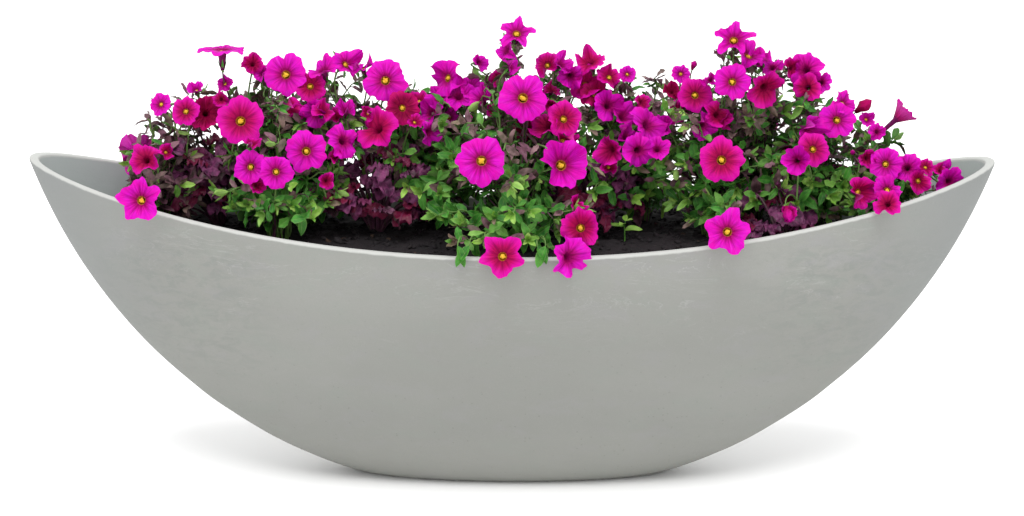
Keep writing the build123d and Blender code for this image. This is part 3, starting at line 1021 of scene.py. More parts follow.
def add_bud(petals, green, c, size, nrm, tint):
    c = np.asarray(c, float)
    nrm = unit(nrm)
    ref = np.array([0, 0, 1.0]) if abs(nrm[2]) < 0.9 else np.array([1.0, 0, 0])
    u = unit(np.cross(ref, nrm))
    w = np.cross(nrm, u)
    t = np.linspace(0, 1, 9)
    prof = np.array([0.10, 0.13, 0.16, 0.20, 0.245, 0.25, 0.20, 0.11, 0.02]) * size
    A = 15
    th = np.arange(A) * 2 * np.pi / A
    T, TH = np.meshgrid(t, th, indexing="ij")
    twist = TH + 1.6 * T
    rad = prof[:, None] * (1 + 0.16 * np.cos(5 * TH) * np.clip(T * 2, 0, 1))
    p = c + (T[..., None] - 0.5) * size * nrm + rad[..., None] * (
        np.cos(twist)[..., None] * u + np.sin(twist)[..., None] * w)
    idx = np.arange(9 * A).reshape(9, A)
    nx = np.roll(idx, -1, 1)
    q = np.stack([idx[:-1], nx[:-1], nx[1:], idx[1:]], -1).reshape(-1, 4)
    v = np.concatenate([p.reshape(-1, 3), [c - 0.5 * size * nrm], [c + 0.52 * size * nrm]])
    k = len(v)
    tr = np.concatenate([np.stack([np.full(A, k - 2), nx[0], idx[0]], -1),
                         np.stack([np.full(A, k - 1), idx[-1], nx[-1]], -1)])
    uv = np.stack([TH * 5 / (2 * np.pi) + 0.5, 0.45 + 0.5 * T], -1).reshape(-1, 2)
    petals.add(v, quads=q, tris=tr, uv=np.concatenate([uv, [[0.5, 0.5], [0.5, 0.9]]]), tint=tint, side=1.0, eyed=0.0)
    base = c - 0.5 * size * nrm
    a = np.arange(5) * 2 * np.pi / 5
    radial = np.cos(a)[:, None] * u + np.sin(a)[:, None] * w
    add_leaves(green, np.repeat([base], 5, 0), unit(nrm + 0.35 * radial), radial, 0.007, 0.0024,
               "lance", droop=0.2, fold=0.3, tint=0.35, grid=(5, 3))
    return base


BLOOMS = [
    (-0.440, -0.158, 0.387, 0.053, -0.15, 0.05, 0, 'p'),
    (-0.445, -0.070, 0.418, 0.037, 0.50, 0.50, 1, 'c'),
    (-0.434, -0.010, 0.476, 0.030, -0.40, 0.20, 0, 'r'),
    (-0.402, -0.020, 0.469, 0.037, -0.10, 0.10, 1, 'r'),
    (-0.380, 0.000, 0.463, 0.038, 0.10, 0.20, 2, 'c'),
    (-0.359, 0.010, 0.541, 0.060, 0.00, 3.50, 0, 'r'),
    (-0.332, -0.045, 0.462, 0.060, 0.10, 0.05, 1, 'r'),
    (-0.282, 0.020, 0.509, 0.055, -0.10, 0.15, 0, 'r'),
    (-0.324, 0.030, 0.520, 0.025, 0.30, 0.80, 1, 'c'),
    (-0.312, 0.030, 0.508, 0.020, -0.40, 0.60, 0, 'c'),
    (-0.251, 0.015, 0.495, 0.042, 0.20, 0.20, 1, 'r'),
    (-0.235, 0.025, 0.513, 0.033, 0.60, 0.90, 0, 'c'),
    (-0.278, 0.000, 0.471, 0.030, 0.20, -0.30, 1, 'c'),
    (-0.251, -0.060, 0.428, 0.053, 0.10, 0.10, 0, 'r'),
    (-0.318, -0.075, 0.411, 0.044, -0.25, 0.10, 0, 'r'),
    (-0.286, -0.085, 0.407, 0.043, 0.05, 0.00, 0, 'r'),
    (-0.207, -0.040, 0.437, 0.041, 0.35, 0.00, 0, 'c'),
    (-0.208, 0.040, 0.519, 0.035, -0.60, 1.00, 0, 'c'),
    (-0.187, 0.040, 0.514, 0.028, -0.30, 1.50, 0, 'c'),
    (-0.158, 0.020, 0.502, 0.056, 0.05, 0.10, 0, 'r'),
    (-0.136, 0.005, 0.470, 0.045, 0.40, 0.10, 2, 'r'),
    (-0.166, -0.020, 0.448, 0.047, -0.05, 0.00, 1, 'c'),
    (-0.206, 0.000, 0.467, 0.025, 0.20, 0.40, 0, 'c'),
    (-0.244, -0.000, 0.464, 0.032, -0.10, 0.30, 0, 'c'),
    (-0.233, -0.010, 0.468, 0.027, 0.30, 0.10, 1, 'c'),
    (-0.082, 0.040, 0.502, 0.040, -0.20, 0.30, 0, 'c'),
    (-0.067, 0.030, 0.480, 0.035, 0.30, 0.10, 0, 'c'),
    (-0.091, 0.035, 0.475, 0.030, 0.00, 0.30, 0, 'c'),
    (-0.101, 0.020, 0.461, 0.030, -0.30, 0.20, 0, 'c'),
    (-0.104, 0.000, 0.441, 0.027, 0.10, -0.50, 0, 'c'),
    (-0.117, 0.040, 0.473, 0.023, -0.30, 0.50, 1, 'c'),
    (-0.053, 0.040, 0.489, 0.028, 0.30, 0.40, 0, 'c'),
    (0.005, 0.000, 0.565, 0.050, 0.05, 0.60, 0, 's'),
    (-0.007, -0.000, 0.543, 0.025, -0.80, 0.60, 0, 'c'),
    (0.013, -0.060, 0.495, 0.061, 0.10, 0.10, 0, 'r'),
    (-0.037, -0.110, 0.427, 0.062, -0.08, 0.05, 0, 'r'),
    (-0.011, -0.187, 0.323, 0.053, -0.05, 0.10, 1, 'p'),
    (0.067, -0.184, 0.321, 0.045, 0.25, -0.25, 0, 'c'),
    (0.082, -0.150, 0.354, 0.041, 0.70, -0.10, 1, 'c'),
    (0.077, -0.120, 0.376, 0.022, 0.20, 0.30, 1, 'c'),
    (0.060, -0.090, 0.418, 0.053, 0.90, -0.10, 0, 'c'),
    (0.043, -0.040, 0.456, 0.037, -0.20, 0.20, 1, 'c'),
    (0.063, -0.050, 0.467, 0.046, 0.30, 0.10, 1, 'r'),
    (0.062, -0.055, 0.440, 0.034, 0.20, -0.20, 1, 'c'),
    (0.043, 0.020, 0.522, 0.030, -0.30, 0.30, 1, 'c'),
    (0.060, 0.030, 0.521, 0.027, 0.30, 0.50, 0, 'c'),
    (0.072, 0.030, 0.507, 0.028, 0.40, 0.10, 0, 'c'),
    (0.097, 0.040, 0.522, 0.033, 0.00, 0.80, 1, 'c'),
    (0.092, 0.040, 0.494, 0.038, -0.20, 0.10, 1, 'c'),
    (0.102, 0.030, 0.484, 0.033, 0.30, 0.10, 2, 'c'),
    (0.144, 0.050, 0.506, 0.023, 0.00, 0.20, 0, 'r'),
    (0.119, 0.020, 0.471, 0.035, -0.20, 0.30, 0, 'c'),
    (0.137, 0.020, 0.456, 0.033, 0.30, 0.20, 0, 'c'),
    (0.167, 0.000, 0.450, 0.044, 0.10, 0.10, 0, 'c'),
    (0.140, -0.020, 0.439, 0.030, -0.20, 0.10, 0, 'c'),
    (0.188, 0.010, 0.447, 0.027, 0.40, 0.10, 0, 'c'),
    (0.121, -0.045, 0.428, 0.034, -0.30, -0.30, 1, 'c'),
    (0.154, -0.050, 0.428, 0.039, 0.10, 0.00, 0, 'c'),
    (0.178, -0.040, 0.428, 0.027, 0.30, 0.00, 0, 'c'),
    (0.211, 0.050, 0.507, 0.025, 0.00, 0.30, 0, 'r'),
    (0.227, 0.015, 0.486, 0.045, 0.00, 0.10, 1, 'r'),
    (0.235, -0.010, 0.452, 0.032, 0.20, -0.60, 0, 'c'),
    (0.254, 0.000, 0.464, 0.035, 0.10, 0.10, 1, 'c'),
    (0.272, 0.000, 0.558, 0.053, -0.10, 0.50, 0, 's'),
    (0.270, -0.020, 0.509, 0.047, 0.00, 0.10, 0, 'r'),
    (0.292, 0.010, 0.537, 0.037, 0.30, 0.50, 0, 'c'),
    (0.307, 0.015, 0.529, 0.027, 0.40, 0.50, 0, 'c'),
    (0.323, 0.020, 0.520, 0.025, 0.30, 0.30, 0, 'c'),
    (0.311, -0.010, 0.500, 0.042, 0.20, -0.20, 1, 'c'),
    (0.364, 0.020, 0.517, 0.040, 0.10, 0.30, 0, 'c'),
    (0.347, 0.030, 0.518, 0.023, -0.30, 0.30, 1, 'c'),
    (0.384, 0.020, 0.502, 0.025, 0.50, 0.20, 0, 'c'),
    (0.365, 0.000, 0.499, 0.032, 0.10, -0.20, 1, 'c'),
    (0.400, -0.020, 0.462, 0.047, 0.10, 0.10, 0, 'r'),
    (0.409, -0.005, 0.480, 0.030, 0.30, 0.40, 0, 'c'),
    (0.363, -0.030, 0.452, 0.035, 0.00, 0.10, 0, 'c'),
    (0.367, -0.060, 0.433, 0.044, 0.20, 0.10, 1, 'r'),
    (0.347, -0.070, 0.421, 0.032, -0.20, -0.30, 0, 'c'),
    (0.254, -0.080, 0.423, 0.057, 0.00, 0.05, 1, 'r'),
    (0.255, -0.176, 0.356, 0.055, 0.00, 0.10, 0, 'p'),
    (0.420, -0.090, 0.386, 0.034, -0.20, 0.00, 1, 'c'),
    (0.457, -0.055, 0.414, 0.043, 0.10, 0.10, 0, 'r'),
    (0.455, -0.095, 0.390, 0.034, 0.10, 0.10, 0, 'c'),
    (0.449, -0.115, 0.376, 0.029, 0.20, -0.30, 1, 'c'),
    (0.434, -0.050, 0.420, 0.020, 0.00, 0.20, 1, 'c'),
    (0.484, -0.050, 0.408, 0.032, 0.30, 0.10, 0, 'c'),
    (0.497, -0.060, 0.394, 0.027, 0.20, 0.00, 1, 'c'),
    (0.510, -0.030, 0.405, 0.020, 0.20, 0.20, 1, 'c'),
    (0.538, -0.040, 0.389, 0.032, 0.90, 0.00, 0, 'c'),
    (0.439, 0.000, 0.459, 0.018, 0.20, 0.40, 0, 'c'),
    (-0.023, 0.000, 0.468, 0.017, 0.00, 0.20, 1, 'c'),
    (0.015, -0.020, 0.449, 0.027, 0.10, 0.10, 2, 'c'),
    (-0.037, 0.020, 0.479, 0.030, -0.20, 0.60, 0, 'c'),
    (0.264, 0.000, 0.455, 0.020, 0.30, 0.10, 1, 'c'),
    (0.205, 0.019, 0.463, 0.028, 0.01, 0.68, 1, 'c'),
    (0.121, 0.034, 0.505, 0.028, 0.11, 0.14, 1, 'c'),
    (-0.391, -0.001, 0.492, 0.019, -0.33, 0.58, 0, 'c'),
    (0.334, -0.098, 0.360, 0.019, 0.40, 0.23, 1, 'c'),
    (0.049, 0.028, 0.488, 0.020, 0.29, 0.69, 1, 'c'),
    (-0.424, -0.047, 0.423, 0.019, 0.11, 0.43, 1, 'c'),
    (-0.079, 0.041, 0.452, 0.020, 0.17, -0.08, 0, 'c'),
    (-0.042, 0.030, 0.523, 0.020, -0.01, 0.25, 0, 'c'),
    (-0.018, 0.033, 0.503, 0.020, -0.15, 0.00, 1, 'c'),
    (0.161, 0.025, 0.475, 0.020, 0.14, 0.65, 1, 'c'),
    (0.199, 0.033, 0.487, 0.020, -0.23, 0.64, 2, 'c'),
    (-0.311, -0.074, 0.388, 0.019, 0.18, 0.23, 1, 'c'),
    (-0.317, -0.070, 0.438, 0.019, 0.19, 0.49, 1, 'c'),
    (-0.179, -0.011, 0.466, 0.019, -0.04, 0.13, 1, 'c'),
    (0.245, 0.008, 0.506, 0.019, -0.28, 0.67, 0, 'c'),
    (0.528, -0.030, 0.400, 0.019, -0.12, 0.47, 1, 'c'),
    (-0.121, 0.001, 0.453, 0.019, 0.42, 0.28, 1, 'c'),
    (-0.218, 0.007, 0.457, 0.019, -0.22, 0.14, 1, 'c'),
    (-0.227, -0.061, 0.391, 0.019, 0.47, 0.19, 1, 'c'),
    (-0.002, -0.013, 0.525, 0.019, 0.46, 0.61, 0, 'c'),
    (-0.357, 0.014, 0.498, 0.019, -0.19, 0.53, 0, 'c'),
    (-0.216, -0.046, 0.417, 0.019, -0.11, 0.59, 1, 'c'),
    (-0.360, -0.007, 0.482, 0.019, -0.27, -0.13, 1, 'c'),
    (0.047, -0.040, 0.483, 0.019, 0.12, 0.01, 1, 'c'),
    (0.119, -0.037, 0.405, 0.019, -0.43, 0.43, 1, 'c'),
    (0.449, -0.025, 0.448, 0.019, 0.20, -0.12, 0, 'c'),
    (-0.266, 0.004, 0.465, 0.019, -0.13, 0.25, 1, 'c'),
]
BUDS = [
    (0.129, 0.050, 0.495, 0.015, 0.10, 1.00, 1),
    (0.227, 0.050, 0.518, 0.015, 0.30, 1.00, 1),
    (0.333, -0.110, 0.363, 0.024, 0.20, -1.20, 1),
    (0.539, -0.010, 0.403, 0.023, 0.50, 1.20, 0),
    (0.526, -0.060, 0.372, 0.015, -0.50, -1.00, 2),
    (0.435, 0.000, 0.476, 0.028, 0.90, 0.70, 3),
    (0.445, 0.000, 0.436, 0.015, 0.10, -0.60, 1),
    (0.419, -0.030, 0.423, 0.012, 0.00, 0.30, 1),
    (-0.001, -0.060, 0.385, 0.015, 0.00, 0.20, 1),
]

# ------------------------------------------------------------------ the plants
# leaf-mass height of each petunia above the ground, in metres
LEAF_TOP = {
    "petunia_1": 0.455, "petunia_2": 0.450, "petunia_3": 0.505, "petunia_4": 0.480,
    "petunia_5": 0.520, "petunia_6": 0.500, "petunia_7": 0.490, "petunia_8": 0.520,
    "petunia_9": 0.500, "petunia_10": 0.465, "petunia_11": 0.405,
}
# shoots with a place of their own: plant, end point
SHOOTS = [
    ("petunia_5", (-0.062, -0.160, 0.338)), ("petunia_5", (-0.035, -0.168, 0.345)),
    ("petunia_5", (0.020, -0.165, 0.342)), ("petunia_5", (0.048, -0.168, 0.334)),
    ("petunia_5", (-0.090, -0.120, 0.360)), ("petunia_5", (0.000, -0.150, 0.372)),
    ("petunia_5", (0.070, -0.120, 0.366)), ("petunia_2", (-0.245, -0.110, 0.352)),
    ("petunia_2", (-0.300, -0.095, 0.360)), ("petunia_8", (0.262, -0.120, 0.362)),
    ("petunia_1", (-0.440, -0.090, 0.385)), ("petunia_11", (0.470, -0.070, 0.372)),
    ("petunia_11", (0.505, -0.035, 0.385)),
]


class Plant:
    def __init__(self, name):
        self.name = name
        self.x, self.y, self.r, self.top = PLANTS[name]
        self.leaves = Store("tint", "side", "dusk")
        self.stems = Store("tint", "side")
        self.petals = Store("tint", "side", "eyed")
        self.petals.wrap = 5.0
        self.anthers = Store("tint", "side")
        self.tips = []


def room(x, y, margin=0.006):
    """How far a point is inside the inner wall at soil height; over 1 is outside."""
    return np.hypot(x / (soil_a + 0.012 - margin), y / (soil_b + 0.006 - margin))


def wall_clear(p, margin=0.006):
    """Pushes points below the rim that would sit in the wall back inside."""
    p = np.array(p, float)
    for k in range(len(p)):
        x, y, z = p[k]
        rim = SHELL_LO.z + 0.322 + 0.089 * abs(x / 0.6) ** 2.1 + 0.008
        if z < rim:
            grow = max(z - SOIL_Z, 0.0)
            a = soil_a + grow * 0.55 - margin
            b = soil_b + grow * 0.25 - margin
            e = math.hypot(x / a, y / b)
            if e > 1:
                p[k, 0] /= e
                p[k, 1] /= e
    return p


FACES = [(np.array([x, y, z]), facing(tx, tz), dia / 2) for x, y, z, dia, tx, tz, colour, shape in BLOOMS
         if dia > 0.032]


FRONT = unit(np.array([0.0, -0.972, 0.235]))


def grow_leaves(pl, base, along, nrm, size, width, shape, **more):
    """Leaves, without those that would stand in front of an open bloom."""
    n = len(base)
    keep = np.ones(n, bool)
    mid = base + along * (size[:, None] * 0.5)
    for c, face, r in FACES:
        close = np.abs(mid[:, 0] - c[0]) < 0.16
        if not close.any():
            continue
        for axis, deep in ((face, 0.10), (FRONT, 0.30)):
            for t in (0.0, 0.25, 0.5, 0.75, 1.0):
                d = base + along * (size[:, None] * t) - c
                h = d @ axis
                side = np.linalg.norm(d - h[:, None] * axis, axis=1)
                keep &= ~((h > -0.018) & (h < deep) & (side < r + 0.002))
    if keep.any():
        kw = {k: (v[keep] if isinstance(v, np.ndarray) and v.shape[:1] == (n,) else v)
              for k, v in more.items()}
        add_leaves(pl.leaves, base[keep], along[keep], nrm[keep], size[keep], width[keep], shape, **kw)


def crossings(pts, own=None):
    """How many points of a path run across the face of an open bloom."""
    total = 0
    for c, face, r in FACES:
        if own is not None and np.linalg.norm(c - own) < 0.004:
            continue
        d = pts - c
        for axis, deep in ((face, 0.06), (FRONT, 0.30)):
            h = d @ axis
            side = np.linalg.norm(d - h[:, None] * axis, axis=1)
            total += int(((h > -0.006) & (h < deep) & (side < r * 1.0)).sum())
    return total


def leafy_stem(pl, end, thick=0.0016, leaf=(0.020, 0.033), step=0.0095, bushy=1.0, start=0.16,
               young=4, width=0.42, tint=0.25, dusk=None, optional=False):
    end = np.array(end, float)
    end[0] = max(end[0], -0.466)
    if dusk is None:
        dusk = 0.20 + 0.46 * float(np.clip((end[2] - 0.395) / 0.05, 0, 1))
        if end[0] < -0.365:
            dusk = 0.88
    az = math.atan2(end[1] - pl.y, end[0] - pl.x)
    out = np.array([math.cos(az), math.sin(az), 0.0])
    p0 = np.array([pl.x, pl.y, SOIL_Z + 0.001]) + out * rng.uniform(0.003, 0.012)
    height = end[2] - p0[2]
    p1 = p0 + out * 0.10 * pl.r + np.array([0, 0, 0.62 * height + 0.02])
    p2 = end - out * 0.35 * math.hypot(end[0] - pl.x, end[1] - pl.y) + np.array([0, 0, 0.12 * height])
    n = 12
    best = None
    for shift in (0.0, 0.02, 0.045, 0.075, 0.03, 0.06):
        lift = np.array([0.0, shift, 0.0])
        if shift in (0.03, 0.06):
            end = end + np.array([rng.uniform(-0.012, 0.012), 0.012, -0.006])
        pts = curve_points(p0, p1 + lift, p2 + lift, end, n)
        cross = crossings(pts)
        if best is None or cross < best[0]:
            best = (cross, pts)
        if cross == 0:
            break
    if best[0] > (0 if optional else 1):
        return None
    pts = best[1]
    wob = rng.normal(0, 0.0016, (n, 3))
    wob[0] = 0
    pts = wall_clear(pts + wob)
    pts[0, 2] = SOIL_Z + 0.001
    add_tube(pl.stems, pts, np.linspace(thick, thick * 0.55, n), 6,
             tint=rng.choice([0.1, 0.2, 0.3, 0.75]))
    seg = np.linalg.norm(np.diff(pts, axis=0), axis=1)
    length = seg.sum()
    m = max(4, int(length * (1 - start) / step * bushy))
    tt = start + (1 - start) * (np.arange(m) + 0.5) / m
    tt = tt ** 0.85
    k = tt * (n - 1)
    i = np.minimum(k.astype(int), n - 2)
    f = (k - i)[:, None]
    base = pts[i] * (1 - f) + pts[i + 1] * f
    tang = unit(pts[i + 1] - pts[i])
    ga = np.arange(m) * 2.39996 + rng.uniform(0, 6.28)
    ref = unit(np.cross(tang, np.array([0.31, 0.2, 0.93])))
    bi = np.cross(tang, ref)
    radial = np.cos(ga)[:, None] * ref + np.sin(ga)[:, None] * bi
    along = unit(radial * 1.0 + tang * rng.uniform(0.2, 0.75, (m, 1)) + np.array([0, 0, 0.10]))
    nrm = unit(tang * 0.9 - radial * 0.25 + np.array([0, -0.25, 0.7]) + rng.normal(0, 0.25, (m, 3)))
    size = rng.uniform(*leaf, m) * (1.05 - 0.35 * tt)
    w = size * width * rng.uniform(0.85, 1.2, m)
    tn = tint - 0.06 + 0.27 * tt + rng.normal(0, 0.13, m)
    kinds = rng.uniform(0, 1, m)
    dk = np.where(rng.uniform(0, 1, m) < dusk, rng.uniform(0.75, 1.0, m), 0.0)
    for lo, hi, shape in ((0, 0.6, "ovate"), (0.6, 0.85, "lance"), (0.85, 1.01, "spoon")):
        s = (kinds >= lo) & (kinds < hi)
        if s.any():
            grow_leaves(pl, base[s], along[s], nrm[s], size[s], w[s], shape,
                       droop=rng.uniform(0.0, 0.45, s.sum()), fold=rng.uniform(0.1, 0.5, s.sum()),
                       ruffle=rng.uniform(0.0, 0.35, s.sum()), tint=np.clip(tn[s], 0, 1), dusk=dk[s])
    # young leaves at the tip
    if young:
        ga = np.arange(young) * 2.39996 + rng.uniform(0, 6.28)
        t0 = tang[-1]
        ref = unit(np.cross(t0, np.array([0.31, 0.2, 0.93])))
        bi = np.cross(t0, ref)
        radial = np.cos(ga)[:, None] * ref + np.sin(ga)[:, None] * bi
        along = unit(radial * 0.55 + t0 * 1.0 + np.array([0, 0, 0.35]))
        nrm = unit(-radial * 0.8 + t0 + np.array([0, -0.2, 0.4]))
        size = rng.uniform(0.014, 0.024, young)
        grow_leaves(pl, np.repeat([pts[-1]], young, 0), along, nrm, size, size * 0.36, "ovate",
                   droop=rng.uniform(-0.1, 0.2, young), fold=0.4, ruffle=0.15,
                   tint=np.clip(rng.normal(0.72, 0.15, young), 0, 1),
                   dusk=np.where(rng.uniform(0, 1, young) < dusk * 0.7, 0.85, 0.0))
    pl.tips.append(pts[-1])
    return pts


plants = {}
for name in PLANTS:
    plants[name] = Plant(name)

for name, pl in plants.items():
    if not name.startswith("petunia"):
        continue
    leaf_top = LEAF_TOP[name]
    H = leaf_top - SOIL_Z
    count = int(10 + pl.r * 110)
    for i in range(count):
        az = i * 2.39996 + rng.uniform(-0.3, 0.3)
        al = 0.12 + 1.22 * math.sqrt((i + 0.5) / count)
        reach = pl.r * (1.32 + rng.uniform(-0.15, 0.2)) * math.sin(al)
        h = H * (0.22 + 0.78 * math.cos(al) ** 0.9) * rng.uniform(0.9, 1.06)
        end = np.array([pl.x + reach * math.cos(az), pl.y + reach * math.sin(az), SOIL_Z + h])
        end[1] = np.clip(end[1], -0.150, 0.160)
        e = room(end[0], end[1])
        if e > 1:
            end[:2] /= e
        leafy_stem(pl, end)

for name, end in SHOOTS:
    leafy_stem(plants[name], end, leaf=(0.022, 0.034))


def nearest(x, y):
    best = min((math.hypot((x - p.x) * 1.0, (y - p.y) * 0.35), n) for n, p in plants.items()
               if n.startswith("petunia"))
    return plants[best[1]]


# each bloom stands on a leafy shoot of its own, a little behind and under it
for x, y, z, dia, tx, tz, colour, shape in BLOOMS:
    if tz > 3 or y < -0.14:
        continue
    pl = nearest(x, y)
    back = rng.uniform(0.030, 0.045)
    end = np.array([x + rng.uniform(-0.012, 0.012), y + back, z - rng.uniform(0.012, 0.030)])
    e = room(end[0], end[1], 0.012)
    if e > 1:
        end[:2] /= e
    if end[2] > SOIL_Z + 0.04:
        leafy_stem(pl, end, thick=0.0013, leaf=(0.018, 0.030), start=0.35, step=0.0100)

# the leaf mass between the plants, up to its own skyline (x, height at the middle line)
SKYLINE = np.array([
    (-0.486, 0.362), (-0.446, 0.413), (-0.416, 0.470), (-0.335, 0.510), (-0.261, 0.476),
    (-0.200, 0.462), (-0.138, 0.450), (-0.101, 0.462), (-0.064, 0.495), (-0.027, 0.508),
    (0.022, 0.502), (0.059, 0.495), (0.108, 0.464), (0.170, 0.464), (0.219, 0.489),
    (0.281, 0.483), (0.330, 0.495), (0.380, 0.489), (0.417, 0.451), (0.454, 0.438),
    (0.478, 0.413), (0.528, 0.394), (0.546, 0.362),
])


def skyline(x, y):
    return np.interp(x, SKYLINE[:, 0], SKYLINE[:, 1]) - 0.18 * (y - 0.03)


for i in range(240):
    x = rng.uniform(-0.47, 0.50)
    y = rng.uniform(-0.035, 0.135)
    e = room(x, y, 0.014)
    if e > 1:
        x, y = x / e, y / e
    cap = skyline(x, y) - 0.014
    z = SOIL_Z + 0.045 + (cap - SOIL_Z - 0.045) * rng.uniform(0, 1) ** 0.62
    if z < SOIL_Z + 0.03 or (x < -0.38 and i % 3):
        continue
    leafy_stem(nearest(x, y), (x, y, z), thick=0.0012, leaf=(0.018, 0.030), start=0.3, step=0.0105,
               optional=True)

# low fill towards the back wall, and the fringe of shoots over the soil in front
for i in range(140):
    x = rng.uniform(-0.44, 0.48)
    y = rng.uniform(0.02, 0.135)
    e = room(x, y, 0.014)
    if e > 1:
        x, y = x / e, y / e
    leafy_stem(nearest(x, y), (x, y, rng.uniform(0.335, 0.425)), thick=0.0012, leaf=(0.024, 0.037),
               start=0.25, step=0.011, tint=0.12, optional=True)

for i in range(26):
    leafy_stem(plants["petunia_5"], (rng.uniform(-0.10, 0.06), rng.uniform(-0.02, 0.05), rng.uniform(0.36, 0.43)),
               thick=0.0012, leaf=(0.020, 0.034), start=0.3, step=0.0105, tint=0.2, optional=True)
for x0, x1, z0, z1, n in ((-0.10, -0.02, 0.36, 0.41, 14), (0.24, 0.36, 0.37, 0.44, 12), (0.30, 0.37, 0.43, 0.475, 8),
                          (-0.22, -0.16, 0.42, 0.455, 8), (0.07, 0.13, 0.42, 0.455, 6)):
    for i in range(n):
        x, y = rng.uniform(x0, x1), rng.uniform(0.05, 0.11)
        leafy_stem(nearest(x, y), (x, y, rng.uniform(z0, z1)), thick=0.0012, leaf=(0.024, 0.036),
                   start=0.35, step=0.010, tint=0.2)

FRINGE = [
    (0.280, -0.030, 0.375), (0.300, -0.040, 0.365), (0.330, -0.045, 0.380), (0.350, -0.050, 0.362),
    (0.370, -0.035, 0.390), (0.390, -0.045, 0.370), (0.410, -0.040, 0.382), (0.430, -0.050, 0.372),
    (0.450, -0.050, 0.386), (0.470, -0.045, 0.382), (0.200, -0.010, 0.372), (0.220, -0.020, 0.362),
    (0.240, -0.030, 0.380), (0.260, -0.030, 0.362), (0.180, 0.000, 0.382), (-0.330, -0.060, 0.370),
    (-0.310, -0.075, 0.362), (-0.270, -0.075, 0.362), (-0.250, -0.070, 0.372), (-0.230, -0.050, 0.360),
    (-0.360, -0.040, 0.372), (-0.130, -0.030, 0.380), (-0.110, -0.050, 0.372), (-0.080, -0.100, 0.356),
    (-0.050, -0.130, 0.352), (-0.020, -0.140, 0.362), (0.020, -0.130, 0.366), (0.050, -0.120, 0.362),
    (0.080, -0.100, 0.362), (-0.090, -0.070, 0.382), (0.100, -0.060, 0.380), (0.000, -0.100, 0.402),
    (0.040, -0.090, 0.402), (-0.050, -0.090, 0.402), (-0.070, -0.060, 0.420), (0.085, -0.050, 0.415),
]
for x, y, z in FRINGE:
    leafy_stem(nearest(x, y), (x, y, z), thick=0.0013, leaf=(0.022, 0.036), start=0.25, step=0.0095, dusk=0.10)

# leaves that hang over the front rim in the middle
for x, dx, turn in ((-0.064, 0.25, 0.5), (-0.050, -0.55, -0.6), (0.030, 0.45, 0.7), (0.040, -0.35, -0.4)):
    base = np.array([[x, -0.1815, 0.339]])
    add_tube(plants["petunia_5"].stems,
             curve_points(np.array([x * 0.8, -0.140, 0.332]), np.array([x * 0.85, -0.155, 0.350]),
                          np.array([x, -0.172, 0.350]), base[0], 8), 0.0008, 6, tint=0.2)
    add_leaves(plants["petunia_5"].leaves, base, unit(np.array([[dx, -0.12, -1.0]])), np.array([[turn, -1.0, 0.3]]),
               np.array([rng.uniform(0.022, 0.031)]), np.array([rng.uniform(0.0105, 0.0135)]), "ovate",
               droop=-0.10, fold=0.6, tint=np.array([rng.uniform(0.15, 0.5)]))

# low shoots close the plants towards the soil
for name, pl in plants.items():
    if not name.startswith("petunia"):
        continue
    for i in range(9):
        az = i * 2 * math.pi / 9 + rng.uniform(-0.25, 0.25)
        reach = pl.r * rng.uniform(0.75, 1.15)
        end = np.array([pl.x + reach * math.cos(az), pl.y + reach * math.sin(az),
                        SOIL_Z + rng.uniform(0.030, 0.065)])
        if end[1] < -0.105:
            continue
        e = room(end[0], end[1], 0.012)
        if e > 1:
            end[:2] /= e
        leafy_stem(pl, end, thick=0.0013, leaf=(0.022, 0.034), start=0.12, step=0.009, tint=0.12)


